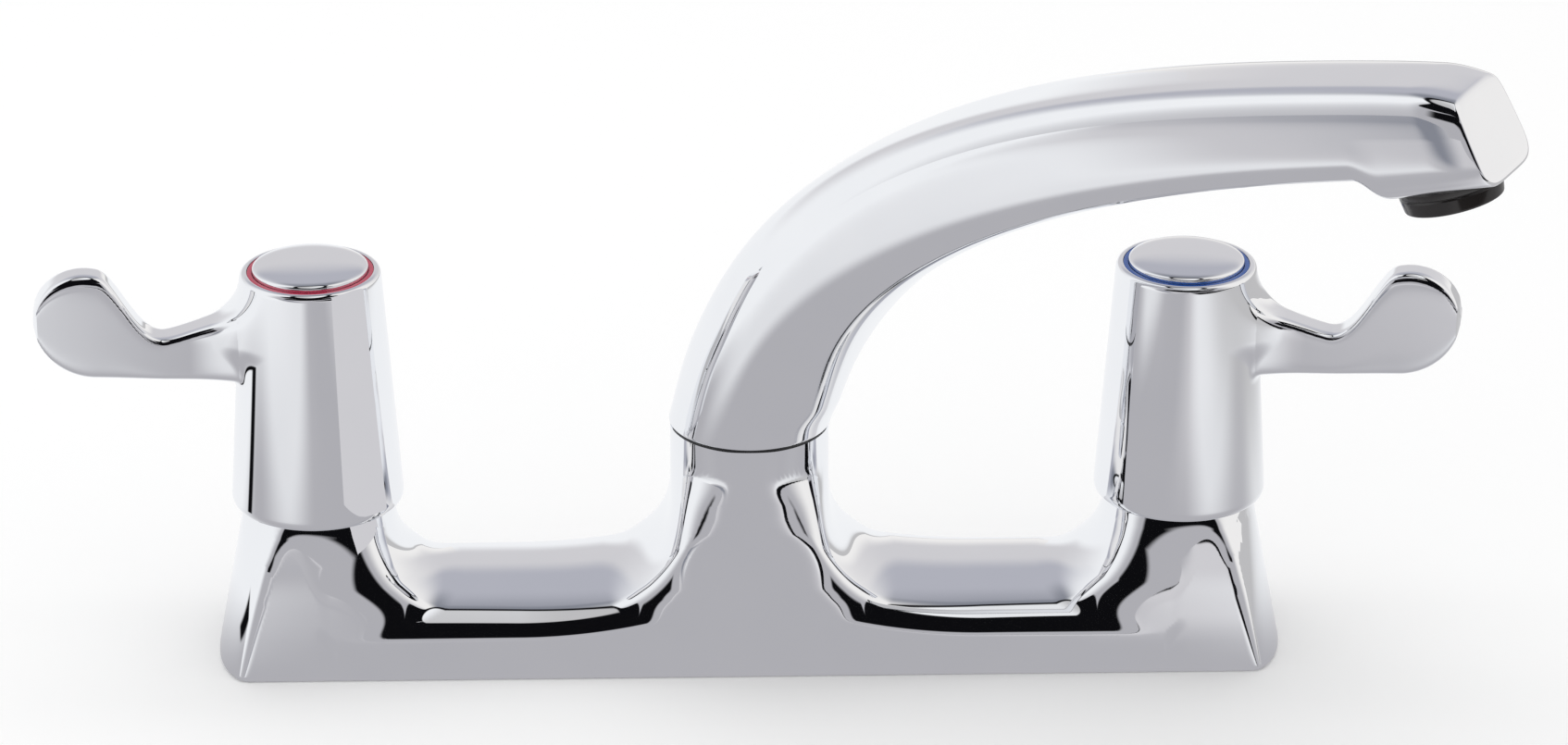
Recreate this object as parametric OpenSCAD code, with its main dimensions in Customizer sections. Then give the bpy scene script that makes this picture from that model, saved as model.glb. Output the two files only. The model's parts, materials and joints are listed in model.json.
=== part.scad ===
// Deck mounted kitchen sink mixer with two lever handles and a swivel spout.
// Frame: millimetres, +Z up, the user stands towards -Y, the origin is the middle of the
// base on the deck. The hot tap is at -X and the cold tap is at +X.

/* [Body] */
// Distance between the axes of the two taps
tap_spacing = 180; // [160:1:200]
// How far the base runs past each tap axis
base_over = 21.7; // [20:0.1:25]
// Depth of the base from front to back
base_depth = 44; // [41:1:50]
// Height of the bridge half way between spout and tap
saddle_h = 15.9; // [15.6:0.1:19]
// Radius of the crown on top of the bridge, seen from its end
crown_r = 60; // [40:1:80]
// Rounding between the front panel and the crown of the bridge
edge_blend = 5.5; // [4:0.5:8]
// Radius of each tower where it goes up into the handle
tower_r = 15.2; // [14.8:0.1:15.4]
// Height of the seat that each valve screws down on
tower_h = 36; // [35:0.5:38]
// Fillet between each tower and the bridge
tower_fillet = 13; // [8:0.5:16]
// Radius of the centre boss that carries the spout
boss_r = 16.5; // [16:0.1:18]
// Height of the joint between boss and spout
boss_h = 49; // [46:0.5:54]
// Fillet between the boss and the bridge
boss_fillet = 17; // [10:0.5:20]
// Depth by which the front panel cuts into each round end of the base
end_cut = 4; // [2:0.5:5]

/* [Waterways] */
// Radius of the waterways inside the bridge
way_r = 3.4; // [2.8:0.1:3.4]
// Height of the waterways inside the bridge
way_z = 10.6; // [10.5:0.1:11]
// Depth of the thread that each tail screws into
socket_depth = 5.5; // [4.5:0.1:5.6]
// Thickness of the web that carries each valve seat
seat_web = 1.5; // [1.2:0.1:1.6]
// Radius of the hole through each valve seat
seat_hole_r = 4.4; // [3.5:0.1:4.6]

/* [Tails] */
// Major radius of the half inch pipe thread on tails and valves
thread_r = 10.48; // [10:0.02:10.8]
// Bore radius of the inlet tails
tail_bore_r = 7.5; // [6:0.1:8.2]
// Length of each tail below the deck
tail_len = 54; // [52:1:80]
// Thickness of the deck that the faucet is clamped to
deck_t = 25; // [1:1:26]
// Length of thread at the free end of a tail for the supply nut
inlet_len = 14; // [10:0.5:15]
// Width across the flats of a backnut
backnut_af = 32; // [30:1:36]
// Height of a backnut
backnut_h = 7; // [6:0.5:9]
// Outer radius of the washer above a backnut
washer_r = 19; // [17:0.5:24]

/* [Handles] */
// Height of the bottom edge of the handle skirt above the deck
skirt_z = 32.4; // [32.4:0.1:34]
// Largest radius of the skirt, just above its bottom edge
skirt_r = 17.75; // [17.5:0.05:19]
// Height of the top rim of the handle above the deck
handle_top = 84; // [83:0.5:90]
// Radius of the handle at its top rim
handle_top_r = 14.5; // [14.3:0.1:16]
// Wall thickness of the handle skirt
skirt_wall = 1.75; // [1.6:0.05:1.8]
// Distance from the tap axis to the tip of the lever blade
lever_reach = 57; // [52:0.5:70]
// Thickness of the lever blade
lever_t = 7.6; // [6:0.2:9]
// Height of the lower edge of the blade at the handle
lever_z = 61.2; // [60:0.2:62]
// Height of the blade at its neck
lever_neck = 10; // [8:0.5:12]
// Height of the paddle at the end of the blade
paddle_h = 22.6; // [18:0.2:26]
// Angle by which the hot lever points forward of the tap line when shut
hot_turn = 6; // [0:1:20]
// Angle by which the cold lever points forward of the tap line when shut
cold_turn = 12; // [0:1:20]

/* [Indices] */
// Outer radius of the coloured ring around the cap
ring_r = 13; // [12.6:0.1:13]
// Radius of the domed cap
cap_r = 11.9; // [11:0.1:12.2]
// Height of the crown of the cap above the rim of the handle
cap_rise = 1.4; // [0.8:0.1:2.4]

/* [Valves] */
// Width across the flats of the valve hexagon
valve_af = 24; // [22:0.5:25]
// Height of the valve hexagon
valve_hex_h = 6; // [5:0.5:6.5]
// Radius of the valve spindle
spindle_r = 4; // [3.8:0.05:4.2]
// Radius of the ceramic discs
disc_r = 6.9; // [6.5:0.05:7]
// Thickness of each ceramic disc
disc_t = 3; // [2.6:0.1:3.1]
// Number of teeth on the spindle
spline_teeth = 20; // [12:1:24]

/* [Spout] */
// Angle by which the spout is swung forward of the +X direction at rest
spout_swing = 30; // [0:1:90]
// Distance from the swivel axis to the end of the spout's centre line
spout_reach = 158.4; // [140:0.1:200]
// Height of the end of the spout's centre line above the deck
spout_end_z = 145.7; // [138:0.1:160]
// Angle at which the spout still rises at its end
end_rise = 10.8; // [6:0.2:15]
// Half height of the spout at its end
spout_half_h = 8.9; // [8.6:0.1:12]
// Half width of the spout at its end
spout_half_w = 12.3; // [11.8:0.1:15]
// Depth by which the outlet housing drops below the spout
outlet_drop = 4; // [2:0.1:5]
// Length of the outlet housing along the spout
outlet_len = 24.7; // [24:0.1:44]
// Rise of the underside of the outlet housing, per length, beyond that of the spout
outlet_slope = 0.083; // [0:0.001:0.1]
// Radius of the waterway inside the spout
spout_way_r = 6; // [4:0.1:6.4]
// Outer radius of the black aerator housing
aerator_r = 10.2; // [9.9:0.1:10.6]
// Depth of the aerator housing that shows below the spout
aerator_show = 4; // [3:0.5:6]

/* [Swivel] */
// Outer radius of the barrel that the spout turns on
barrel_r = 9.5; // [9.2:0.05:10]
// Height of the barrel above the boss
barrel_h = 18; // [17:0.5:18.5]
// Bore radius of the barrel
barrel_bore_r = 6.5; // [5.5:0.1:6.6]
// Thickness of the slide ring under the spout
slide_t = 0.6; // [0.4:0.1:0.8]

/* [Hidden] */
$fn = 64;

// Radial clearance of running and screwed fits
fit = 0.05;
// Gap between flat faces that slide on each other
face_gap = 0.05;
// Clearance of parts that only pass each other
free_gap = 0.4;
// Overrun of every cut
over = 1;

chrome = [0.86, 0.87, 0.89];
brass = [0.80, 0.66, 0.34];
steel = [0.62, 0.63, 0.65];
rubber = [0.12, 0.12, 0.13];
ceramic = [0.93, 0.92, 0.88];

tap_x = tap_spacing / 2;
half_depth = base_depth / 2;

// Body: how its towers, boss and bridge run into each other
neck_drop = 3;
neck_z = tower_h - neck_drop;
skin_drop = 2.5;
skin_top = tower_h - skin_drop;
neck_step = 0.2;
neck_r = tower_r - neck_step;
round_z = 30;
end_swell = 0.8;
bridge_climb = 4;
climb_start = 48;
climb_run = 32;
boss_flare = 2;
flare_z = 30;
blend_low = 4;
blend_high = 19;
blend_min_len = 0.01;
crisp_blend = 1;
panel_drop = 6;
panel_ease = 0.2;
panel_lean = 0.08;
lean_near = 25;
lean_far = 75;
soft_out = 4;
soft_in = 8;
crisp_far = 45;
crisp_near = 28;
crisp_low = 17;
crisp_high = 31;
foot_cut = 0.9;
foot_h = 1.2;
boss_cap_drop = 3;
boss_cap = boss_h - boss_cap_drop;
boss_collar_drop = 11;
boss_collar = boss_h - boss_collar_drop;
skin_step = 0.15;
boss_skin_r = boss_r - skin_step;
gauge_reach = 80;

// Valve: heights of its stack
seat_z = socket_depth + seat_web;
seal_h = 2.6;
seal_proud = 1;
seal_w = 2.4;
barrel_wall = 1.6;
thread_low = 21;
washer_t = 1.2;
washer_w = 2.1;
foot_t = 4;
chamber_gap = 0.1;
valve_neck_r = 8;
valve_neck_h = 6.8;
window_w = 7;
fixed_z = seat_z + seal_h;
moving_z = fixed_z + disc_t + face_gap;
foot_z = moving_z + disc_t;
chamber_r = disc_r + chamber_gap;
chamber_top = foot_z + foot_t + free_gap;
port_r = 2;
port_x = 3.6;
hex_z = tower_h + washer_t;
valve_neck_z = hex_z + valve_hex_h;
valve_top = valve_neck_z + valve_neck_h;
ring_seal_r = 0.55;
spindle_groove_z = 30;
clip_t = 0.9;
clip_r = 6;
clip_groove = 0.55;
clip_gap_w = 3;

// Handle: hub, screw and recess
hub_z = 57;
hub_r = 7.5;
hub_drop = 3;
hub_gap = 1;
recess_d = 4;
recess_z = handle_top - recess_d;
spline_r = spindle_r - fit;
spline_depth = 0.35;
spindle_top = 69;
socket_top = spindle_top + free_gap;
spline_low = hub_z - hub_drop - hub_gap;
screw_r = 2;
screw_gap = 0.25;
screw_len = 17;
screw_head_r = 3.8;
screw_head_h = 2.6;
screw_sink = 4.8;
screw_seat_z = recess_z - screw_sink;
rim_w = 1.5;
rim_h = 3;
top_round = 1.2;

// Lever blade: where its outline changes, in shares of its reach
blade_start = 9;
neck_start_share = 0.55;
paddle_start_share = 0.77;
paddle_peak_share = 0.82;
root_share = 0.28;
flare_share = 0.45;
flare_run = 10;
blade_rise = 0.07;
tip_r = 12;
root_climb = 4.6;
root_run = 14;
root_flare = 2;
blade_round = 3;

// Swivel and waterway of the boss
nipple_r = 9;
nipple_low = 28;
flange_r = 12;
flange_t = 3;
boss_floor = 5.5;
seal_ring_r = 0.9;
seal_depth = 1.85;
seal_slack = 0.1;
seal_high_drop = 4.5;
seal_low_drop = 9;
lock_z = 4.6;
lock_depth = 1.2;
lock_w = 3.2;
grub_r = 2.5;
grub_tip_r = 1.4;
grub_tip = 1.3;
grub_len = 5;
divider_t = 1.2;
slide_in = 0.6;
slide_edge = 0.5;
barrel_top = boss_h + barrel_h;
spout_z = boss_h + slide_t + face_gap;

// Spout: its centre line is one smooth curve through these shares of reach and rise
spout_path_shares = [[0, 0], [0.0505, 0.2686], [0.1224, 0.7558]];
path_end_len = 54.8;
spout_root_r = 16.8;
thin_share = 1.058;
square_power = 1.6;
square_shares = [0.15, 0.8];
side_taper = 0.06;
taper_shares = [0.3, 0.9];
end_lean = 17.8;
lean_len = 26;
drop_len = 6;
crown_fall = 2;
crown_len = 10;
pinch = 0.8;
pinch_len = 4;
upright_share = 0.14;
spout_wall = 3;
swell_shares = [0.15, 0.3];
outlet_share = 0.948;
outlet_bore_d = 6;
aerator_sink = 1.8;
aerator_neck = 1;
aerator_seal_t = 1;
aerator_wall = 1.6;
aerator_draft = 0.4;
mesh_hole_r = 0.85;
mesh_pitch = 2.5;
mesh_rows = 2;
insert_in = 0.8;
spout_rise = spout_end_z - spout_z;

// Base gasket, and mesh counts of the smooth surfaces
gasket_inset = 2.7;
gasket_w = 2.8;
gasket_t = 2;
gasket_r = min(half_depth, base_over) - gasket_inset;
skin_columns = 26;
blade_rings = 26;
blade_sides = 20;
spout_rings = 40;
spout_sides = 28;
way_rings = 16;
way_sides = 16;
solve_steps = 16;

// Smooth minimum and maximum of two distances, blended over the length k
function soft_min(a, b, k) = let(h = max(k - abs(a - b), 0) / k) min(a, b) - h * h * k / 4;
function soft_max(a, b, k) = -soft_min(-a, -b, k);
// Share of the way from a to b, eased at both ends
function ease(a, b, x) = let(t = min(max((x - a) / (b - a), 0), 1)) t * t * (3 - 2 * t);
// Gauge of a round-cornered square: 1 on its outline, a circle when n is 2
function gauge(u, v, n) = pow(pow(abs(u), n) + pow(abs(v), n), 1 / n);
function unit(v) = v / norm(v);
// Power of the sine or cosine that draws such an outline
function bend(c, n) = sign(c) * pow(abs(c), 2 / n);

// The bridge: a crowned top that climbs towards the boss
function bridge_gauge(a, y, z) = let(
        climb = min(max((climb_start - a) / climb_run, 0), 2),
        top = saddle_h + bridge_climb * climb * climb - y * y / (2 * crown_r))
    max(z - top, a - tap_x);
// A tower: a round neck that widens down to the end of the base
function tower_gauge(a, y, z) = let(
        share = min(z / neck_z, 1),
        wide = base_over - (base_over - tower_r) * share,
        deep = tower_r + (half_depth + end_cut - tower_r) * pow(1 - share, end_swell),
        n = 2 + max(1 - z / round_z, 0))
    max((gauge((a - tap_x) / wide, y / deep, n) - 1) * wide, z - skin_top);
// Half depth at the flat front panel, which leans back, and a little more at the ends
function panel_depth(a, z) = half_depth
    - (half_depth - boss_skin_r) * soft_min(z / (boss_h - panel_drop), 1, panel_ease)
    - panel_lean * z * ease(lean_near, lean_far, a);
// The boss: round at the joint, and as deep as the panel where it flows into the front
function boss_gauge(a, y, z) = let(
        deep = panel_depth(0, z),
        wide = boss_skin_r + boss_flare * ease(flare_z, 0, z))
    max((gauge(a / wide, y / deep, 2) - 1) * deep, z - boss_cap);
// The whole casting: negative inside, zero on its surface. The edge of the panel is soft
// over the saddles, and crisp at the ends and beside the boss.
function body_gauge(p) = let(
        a = abs(p[0]),
        share = ease(blend_low, blend_high, p[2]),
        low = soft_min(bridge_gauge(a, p[1], p[2]), tower_gauge(a, p[1], p[2]),
            tower_fillet * share + blend_min_len),
        all = soft_min(low, boss_gauge(a, p[1], p[2]), boss_fillet * share + blend_min_len),
        soft = ease(tap_x + soft_out, tap_x - soft_in, a)
            * (1 - ease(crisp_far, crisp_near, a) * ease(crisp_low, crisp_high, p[2])),
        edge = crisp_blend + (edge_blend - crisp_blend) * soft,
        cut = max(1 - p[2] / foot_h, 0))
    soft_max(all, abs(p[1]) - panel_depth(a, p[2]), edge) + foot_cut * cut * cut;
// Distance from the point o along d to the surface, by halving the interval
function surface_at(o, d, low, high, steps) = steps == 0 ? low : let(mid = (low + high) / 2)
    body_gauge(o + d * mid) < 0 ? surface_at(o, d, mid, high, steps - 1)
        : surface_at(o, d, low, mid, steps - 1);

// Fan of section planes over half the body: foot, head, head height, planes to the next
foot_shares = [0, 0.72, 1.04, 0.8, 0.57, 0.4, 0.85, 0, 0.65, 0.78];
fan = [
    [0, 0, boss_cap, 4],
    [boss_r * foot_shares[1], boss_skin_r, boss_cap, 3],
    [boss_r * foot_shares[2], boss_r * foot_shares[2], flare_z + neck_drop, 6],
    [boss_r + boss_fillet * foot_shares[3], boss_r + boss_fillet * foot_shares[3],
        saddle_h + bridge_climb * 1.5, 5],
    [tap_x * foot_shares[4], tap_x * foot_shares[4], saddle_h, 5],
    [tap_x - tower_r - tower_fillet * foot_shares[5],
        tap_x - tower_r - tower_fillet * foot_shares[5],
        saddle_h + tower_fillet * foot_shares[5], 4],
    [tap_x - tower_r * foot_shares[6], tap_x - tower_r, skin_top, 4],
    [tap_x, tap_x, skin_top, 4],
    [tap_x + tower_r * foot_shares[8], tap_x + tower_r, skin_top, 7],
    [tap_x + base_over * foot_shares[9], tap_x + base_over, 0, 1]];
half_fan = concat([for (k = [0 : len(fan) - 2]) for (i = [0 : fan[k][3] - 1])
    fan[k] + (fan[k + 1] - fan[k]) * i / fan[k][3]], [fan[len(fan) - 1]]);
full_fan = concat([for (i = [len(half_fan) - 1 : -1 : 1])
    [-half_fan[i][0], -half_fan[i][1], half_fan[i][2]]], half_fan);
function skin_point(f, j) = let(
        a = 180 * j / skin_columns,
        d = unit([(f[1] - f[0]) * sin(a), half_depth * cos(a), f[2] * sin(a)]),
        o = [f[0], 0, 0])
    o + d * surface_at(o, d, 0, gauge_reach, solve_steps);

// Four-sided faces of a grid of points, rows by columns, wound or open across
function grid_faces(rows, columns, wrap) = [for (i = [0 : rows - 2])
    for (j = [0 : columns - (wrap ? 1 : 2)]) let(k = (j + 1) % columns)
    [i * columns + j, (i + 1) * columns + j, (i + 1) * columns + k, i * columns + k]];
function split_faces(quads) = [for (q = quads) each [[q[0], q[1], q[2]], [q[0], q[2], q[3]]]];

// The smooth skin of the casting, closed along the deck
module body_skin() {
    rows = len(full_fan);
    columns = skin_columns + 1;
    points = [for (f = full_fan) for (j = [0 : skin_columns]) skin_point(f, j)];
    sides = split_faces(grid_faces(rows, columns, false));
    floor_quads = [for (i = [0 : rows - 2]) [i * columns, i * columns + skin_columns,
        (i + 1) * columns + skin_columns, (i + 1) * columns]];
    first = [for (j = [0 : skin_columns]) j];
    last = [for (j = [skin_columns : -1 : 0]) (rows - 1) * columns + j];
    polyhedron(points, concat(sides, split_faces(floor_quads), [first, last]));
}

// A tube of rings closed at both ends
module ring_solid(rings) {
    n = len(rings[0]);
    m = len(rings);
    points = [for (r = rings) for (p = r) p];
    first = [for (j = [0 : n - 1]) j];
    last = [for (j = [n - 1 : -1 : 0]) (m - 1) * n + j];
    polyhedron(points, concat(split_faces(grid_faces(m, n, true)), [first, last]));
}

module ring(outer, inner, height) {
    difference() {
        cylinder(r = outer, h = height);
        translate([0, 0, -over]) cylinder(r = inner, h = height + 2 * over);
    }
}

module hexagon(af, height) {
    cylinder(r = af / sqrt(3), h = height, $fn = 6);
}

// A slab as wide as the two tap centres, with round ends
module long_slab(r, height) {
    for (side = [-1, 1]) translate([side * tap_x, 0, 0]) cylinder(r = r, h = height);
    translate([-tap_x, -r, 0]) cube([tap_spacing, 2 * r, height]);
}

module at_tap(side) {
    translate([side * tap_x, 0, 0]) children();
}

// Casting, tails and what clamps them

module mixer_body() {
    color(chrome) difference() {
        union() {
            body_skin();
            translate([0, 0, boss_collar]) cylinder(r = boss_r, h = boss_h - boss_collar);
            for (side = [-1, 1]) at_tap(side) translate([0, 0, seat_z])
                cylinder(r = neck_r, h = tower_h - seat_z);
        }
        for (side = [-1, 1]) at_tap(side) {
            translate([0, 0, seat_z]) cylinder(r = thread_r + fit, h = tower_h);
            translate([0, 0, -over]) cylinder(r = seat_hole_r, h = seat_z + 2 * over);
            translate([0, 0, -over]) cylinder(r = thread_r + fit, h = socket_depth + over);
        }
        for (side = [-1, 1]) translate([0, 0, way_z]) rotate([0, side * 90, 0])
            cylinder(r = way_r, h = tap_x - thread_r + over);
        translate([0, 0, boss_floor]) cylinder(r = nipple_r + fit, h = boss_h);
        translate([0, 0, boss_h - flange_t]) cylinder(r = flange_r + fit, h = flange_t + over);
        translate([0, 0, -over]) difference() {
            long_slab(gasket_r + fit, gasket_t + over);
            translate([0, 0, -over]) long_slab(gasket_r - gasket_w - fit, gasket_t + 3 * over);
        }
    }
}

module base_gasket() {
    color(rubber) difference() {
        long_slab(gasket_r, gasket_t);
        translate([0, 0, -over]) long_slab(gasket_r - gasket_w, gasket_t + 2 * over);
    }
}

// Threaded tail with a relief groove above the length for the supply nut
relief_w = 1.5;
relief_d = 0.9;
tail_chamfer = 0.8;
module inlet_tail(side) {
    r = thread_r;
    z1 = inlet_len - tail_len;
    color(brass) at_tap(side) rotate_extrude() polygon([
        [tail_bore_r, -tail_len], [r - tail_chamfer, -tail_len],
        [r, tail_chamfer - tail_len], [r, z1], [r - relief_d, z1],
        [r - relief_d, z1 + relief_w], [r, z1 + relief_w], [r, socket_depth],
        [tail_bore_r, socket_depth]]);
}
module hot_inlet_tail() { inlet_tail(-1); }
module cold_inlet_tail() { inlet_tail(1); }

backnut_washer_t = 2;
backnut_flange_t = 1.6;
backnut_flange_r = 17.5;
module backnut(side) {
    color(brass) at_tap(side) translate([0, 0, -deck_t - backnut_washer_t - backnut_h])
        difference() {
            union() {
                hexagon(backnut_af, backnut_h);
                translate([0, 0, backnut_h - backnut_flange_t])
                    cylinder(r = backnut_flange_r, h = backnut_flange_t);
            }
            translate([0, 0, -over]) cylinder(r = thread_r + fit, h = backnut_h + 2 * over);
        }
}
module hot_backnut() { backnut(-1); }
module cold_backnut() { backnut(1); }

module backnut_washer(side) {
    color([0.9, 0.9, 0.86]) at_tap(side) translate([0, 0, -deck_t - backnut_washer_t])
        ring(washer_r, thread_r + fit, backnut_washer_t);
}
module hot_backnut_washer() { backnut_washer(-1); }
module cold_backnut_washer() { backnut_washer(1); }

// Valve: housing, discs, seals and spindle

module valve_housing(side) {
    low = seat_z + seal_proud;
    barrel_r1 = chamber_r + barrel_wall;
    color(brass) at_tap(side) difference() {
        union() {
            translate([0, 0, low]) cylinder(r = barrel_r1, h = thread_low - low + over);
            translate([0, 0, thread_low]) cylinder(r = thread_r, h = hex_z - thread_low);
            translate([0, 0, hex_z]) hexagon(valve_af, valve_hex_h);
            translate([0, 0, hex_z]) cylinder(r = valve_neck_r, h = valve_top - hex_z);
        }
        translate([0, 0, low - over]) cylinder(r = chamber_r, h = chamber_top - low + over);
        translate([0, 0, low]) cylinder(r = spindle_r + fit, h = valve_top);
        translate([-window_w / 2, -thread_r, moving_z])
            cube([window_w, 2 * thread_r, disc_t + foot_t / 2]);
    }
}
module hot_valve_housing() { valve_housing(-1); }
module cold_valve_housing() { valve_housing(1); }

module fixed_disc(side) {
    color(ceramic) at_tap(side) translate([0, 0, fixed_z]) difference() {
        cylinder(r = disc_r, h = disc_t);
        for (x = [-port_x, port_x]) translate([x, 0, -over])
            cylinder(r = port_r, h = disc_t + 2 * over);
    }
}
module hot_fixed_disc() { fixed_disc(-1); }
module cold_fixed_disc() { fixed_disc(1); }

module seat_seal(side) {
    color(rubber) at_tap(side) translate([0, 0, seat_z])
        ring(disc_r - fit, disc_r - seal_w, seal_h);
}
module hot_seat_seal() { seat_seal(-1); }
module cold_seat_seal() { seat_seal(1); }

module housing_seal(side) {
    color(rubber) at_tap(side) translate([0, 0, tower_h])
        ring(thread_r + washer_w, thread_r + fit, washer_t);
}
module hot_housing_seal() { housing_seal(-1); }
module cold_housing_seal() { housing_seal(1); }

// Outline of the splined spindle end, n teeth of the given depth
function spline_outline(r, depth, n) = [for (i = [0 : 4 * n - 1]) let(
        q = i % 4, a = 360 * (i + 0.5) / (4 * n), s = q < 2 ? r : r - depth)
    [s * cos(a), s * sin(a)]];

module spindle(side) {
    color(brass) at_tap(side) difference() {
        union() {
            translate([0, 0, foot_z]) cylinder(r = disc_r - free_gap, h = foot_t);
            translate([0, 0, foot_z]) cylinder(r = spindle_r, h = spline_low - foot_z);
            translate([0, 0, spline_low]) linear_extrude(spindle_top - spline_low)
                polygon(spline_outline(spline_r, spline_depth, spline_teeth));
        }
        translate([0, 0, spindle_groove_z - ring_seal_r - fit])
            ring(spindle_r + over, spindle_r - 2 * ring_seal_r, 2 * (ring_seal_r + fit));
        translate([0, 0, valve_top])
            ring(spindle_r + over, spindle_r - clip_groove, clip_t + 2 * fit);
        translate([0, 0, spindle_top - screw_len + screw_sink]) cylinder(r = screw_r + fit, h = screw_len);
    }
}
module hot_spindle() { spindle(-1); }
module cold_spindle() { spindle(1); }

// Quarter turn disc: a channel across its lower face opens the ports of the fixed disc
channel_d = 1.6;
module moving_disc(side) {
    color(ceramic) at_tap(side) translate([0, 0, moving_z]) difference() {
        cylinder(r = disc_r - free_gap, h = disc_t);
        translate([-port_r, -disc_r, -over]) cube([2 * port_r, 2 * disc_r, channel_d + over]);
    }
}
module hot_moving_disc() { moving_disc(-1); }
module cold_moving_disc() { moving_disc(1); }

module spindle_seal(side) {
    color(rubber) at_tap(side) translate([0, 0, spindle_groove_z]) rotate_extrude()
        translate([spindle_r - ring_seal_r, 0, 0]) circle(r = ring_seal_r, $fn = 24);
}
module hot_spindle_seal() { spindle_seal(-1); }
module cold_spindle_seal() { spindle_seal(1); }

module circlip(side) {
    color(steel) at_tap(side) translate([0, 0, valve_top + face_gap]) difference() {
        ring(clip_r, spindle_r - clip_groove + fit, clip_t);
        translate([0, -clip_gap_w / 2, -over]) cube([2 * clip_r, clip_gap_w, clip_t + 2 * over]);
    }
}
module hot_circlip() { circlip(-1); }
module cold_circlip() { circlip(1); }

// Handle: a hollow cone with a flat lever blade, its indices and its screw

arc_steps = 6;
function quarter(x, z, w, h, a) = [for (i = [0 : arc_steps])
    [x + w * cos(a + 90 * i / arc_steps), z + h * sin(a + 90 * i / arc_steps)]];
handle_outline = concat([[0, skirt_z]],
    quarter(skirt_r - rim_w, skirt_z + rim_h, rim_w, rim_h, -90),
    quarter(handle_top_r - top_round, handle_top - top_round, top_round, top_round, 0),
    [[0, handle_top]]);

// Lower and upper edge of the blade, and half its thickness, at the distance u
function blade_low(u) = let(d = min(max((u - lever_reach + tip_r) / tip_r, 0), 1))
    lever_z + blade_rise * (u - lever_reach * root_share) + tip_r * (1 - sqrt(1 - d * d));
function blade_high(u) = let(
        climb = min(max((lever_reach * neck_start_share - u) / root_run, 0), 1.5),
        w = ease(lever_reach * neck_start_share, lever_reach * paddle_start_share, u),
        neck = lever_z + lever_neck + root_climb * climb * climb,
        peak_u = lever_reach * paddle_peak_share,
        peak = lever_z + blade_rise * (peak_u - lever_reach * root_share) + paddle_h,
        d = min(max((u - peak_u) / (lever_reach - peak_u), 0), 1),
        fall = peak - blade_low(lever_reach))
    neck * (1 - w) + peak * w - fall * (1 - sqrt(1 - d * d));
function blade_half(u) = let(
        flare = min(max((lever_reach * flare_share - u) / flare_run, 0), 1))
    lever_t / 2 + root_flare * flare * flare;
function blade_ring(u, n) = let(
        low = blade_low(u), high = blade_high(u), h = (high - low) / 2,
        w = min(blade_half(u), h + blend_min_len))
    [for (j = [0 : n - 1]) let(a = 360 * j / n)
        [u, w * bend(cos(a), blade_round), (low + high) / 2 + h * bend(sin(a), blade_round)]];
// Stations crowd towards the tip, where the outline turns fastest
function blade_station(i) = blade_start
    + (lever_reach - blade_start) * (1 - pow(1 - i / blade_rings, 1.6));

module lever(side, turn) {
    color(chrome) at_tap(side) difference() {
        union() {
            rotate_extrude() polygon(handle_outline);
            rotate([0, 0, side < 0 ? 180 + turn : -turn]) ring_solid(
                [for (i = [0 : blade_rings - 1]) blade_ring(blade_station(i), blade_sides)]);
        }
        translate([0, 0, skirt_z]) difference() {
            translate([0, 0, -over]) union() {
                cylinder(r = skirt_r - skirt_wall, h = over);
                translate([0, 0, over]) cylinder(r1 = skirt_r - skirt_wall,
                    r2 = handle_top_r - skirt_wall + over, h = hub_z - skirt_z);
            }
            translate([0, 0, hub_z - skirt_z - hub_drop]) cylinder(r = hub_r, h = hub_z);
        }
        translate([0, 0, hub_z - hub_drop - over]) linear_extrude(socket_top - hub_z + hub_drop + over)
            polygon(spline_outline(spline_r + fit, spline_depth, spline_teeth));
        translate([0, 0, hub_z]) cylinder(r = screw_r + screw_gap, h = handle_top);
        translate([0, 0, screw_seat_z]) cylinder(r = screw_head_r + free_gap, h = handle_top);
        translate([0, 0, recess_z]) cylinder(r = ring_r + fit, h = recess_d + over);
    }
}
module hot_lever() { lever(-1, hot_turn); }
module cold_lever() { lever(1, cold_turn); }

ring_drop = 0.2;
module indicator_ring(side, tint) {
    color(tint) at_tap(side) translate([0, 0, recess_z])
        ring(ring_r, cap_r + fit, recess_d - ring_drop);
}
module hot_indicator_ring() { indicator_ring(-1, [0.78, 0.16, 0.25]); }
module cold_indicator_ring() { indicator_ring(1, [0.13, 0.27, 0.60]); }

cap_wall = 1.2;
module cap(side) {
    h = recess_d + cap_rise;
    color(chrome) at_tap(side) translate([0, 0, recess_z]) rotate_extrude() polygon(concat(
        [[cap_r - cap_wall, 0], [cap_r, 0]],
        [for (i = [0 : 2 * arc_steps]) let(a = 90 * i / (2 * arc_steps))
            [cap_r * cos(a), recess_d - ring_drop + (cap_rise + ring_drop) * pow(sin(a), 0.7)]],
        [[0, h - cap_wall], [cap_r - cap_wall, recess_d - cap_wall]]));
}
module hot_cap() { cap(-1); }
module cold_cap() { cap(1); }

slot_w = 1.2;
slot_d = 1.3;
module lever_screw(side) {
    color(steel) at_tap(side) difference() {
        union() {
            translate([0, 0, screw_seat_z]) cylinder(r = screw_head_r, h = screw_head_h);
            translate([0, 0, screw_seat_z + screw_head_h - screw_len])
                cylinder(r = screw_r, h = screw_len - screw_head_h + over);
        }
        for (a = [0, 90]) rotate([0, 0, a])
            translate([-screw_head_r + slot_w, -slot_w / 2, screw_seat_z + screw_head_h - slot_d])
                cube([2 * (screw_head_r - slot_w), slot_w, slot_d + over]);
    }
}
module hot_lever_screw() { lever_screw(-1); }
module cold_lever_screw() { lever_screw(1); }

// Swivel: what the spout turns and seals on

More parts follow.
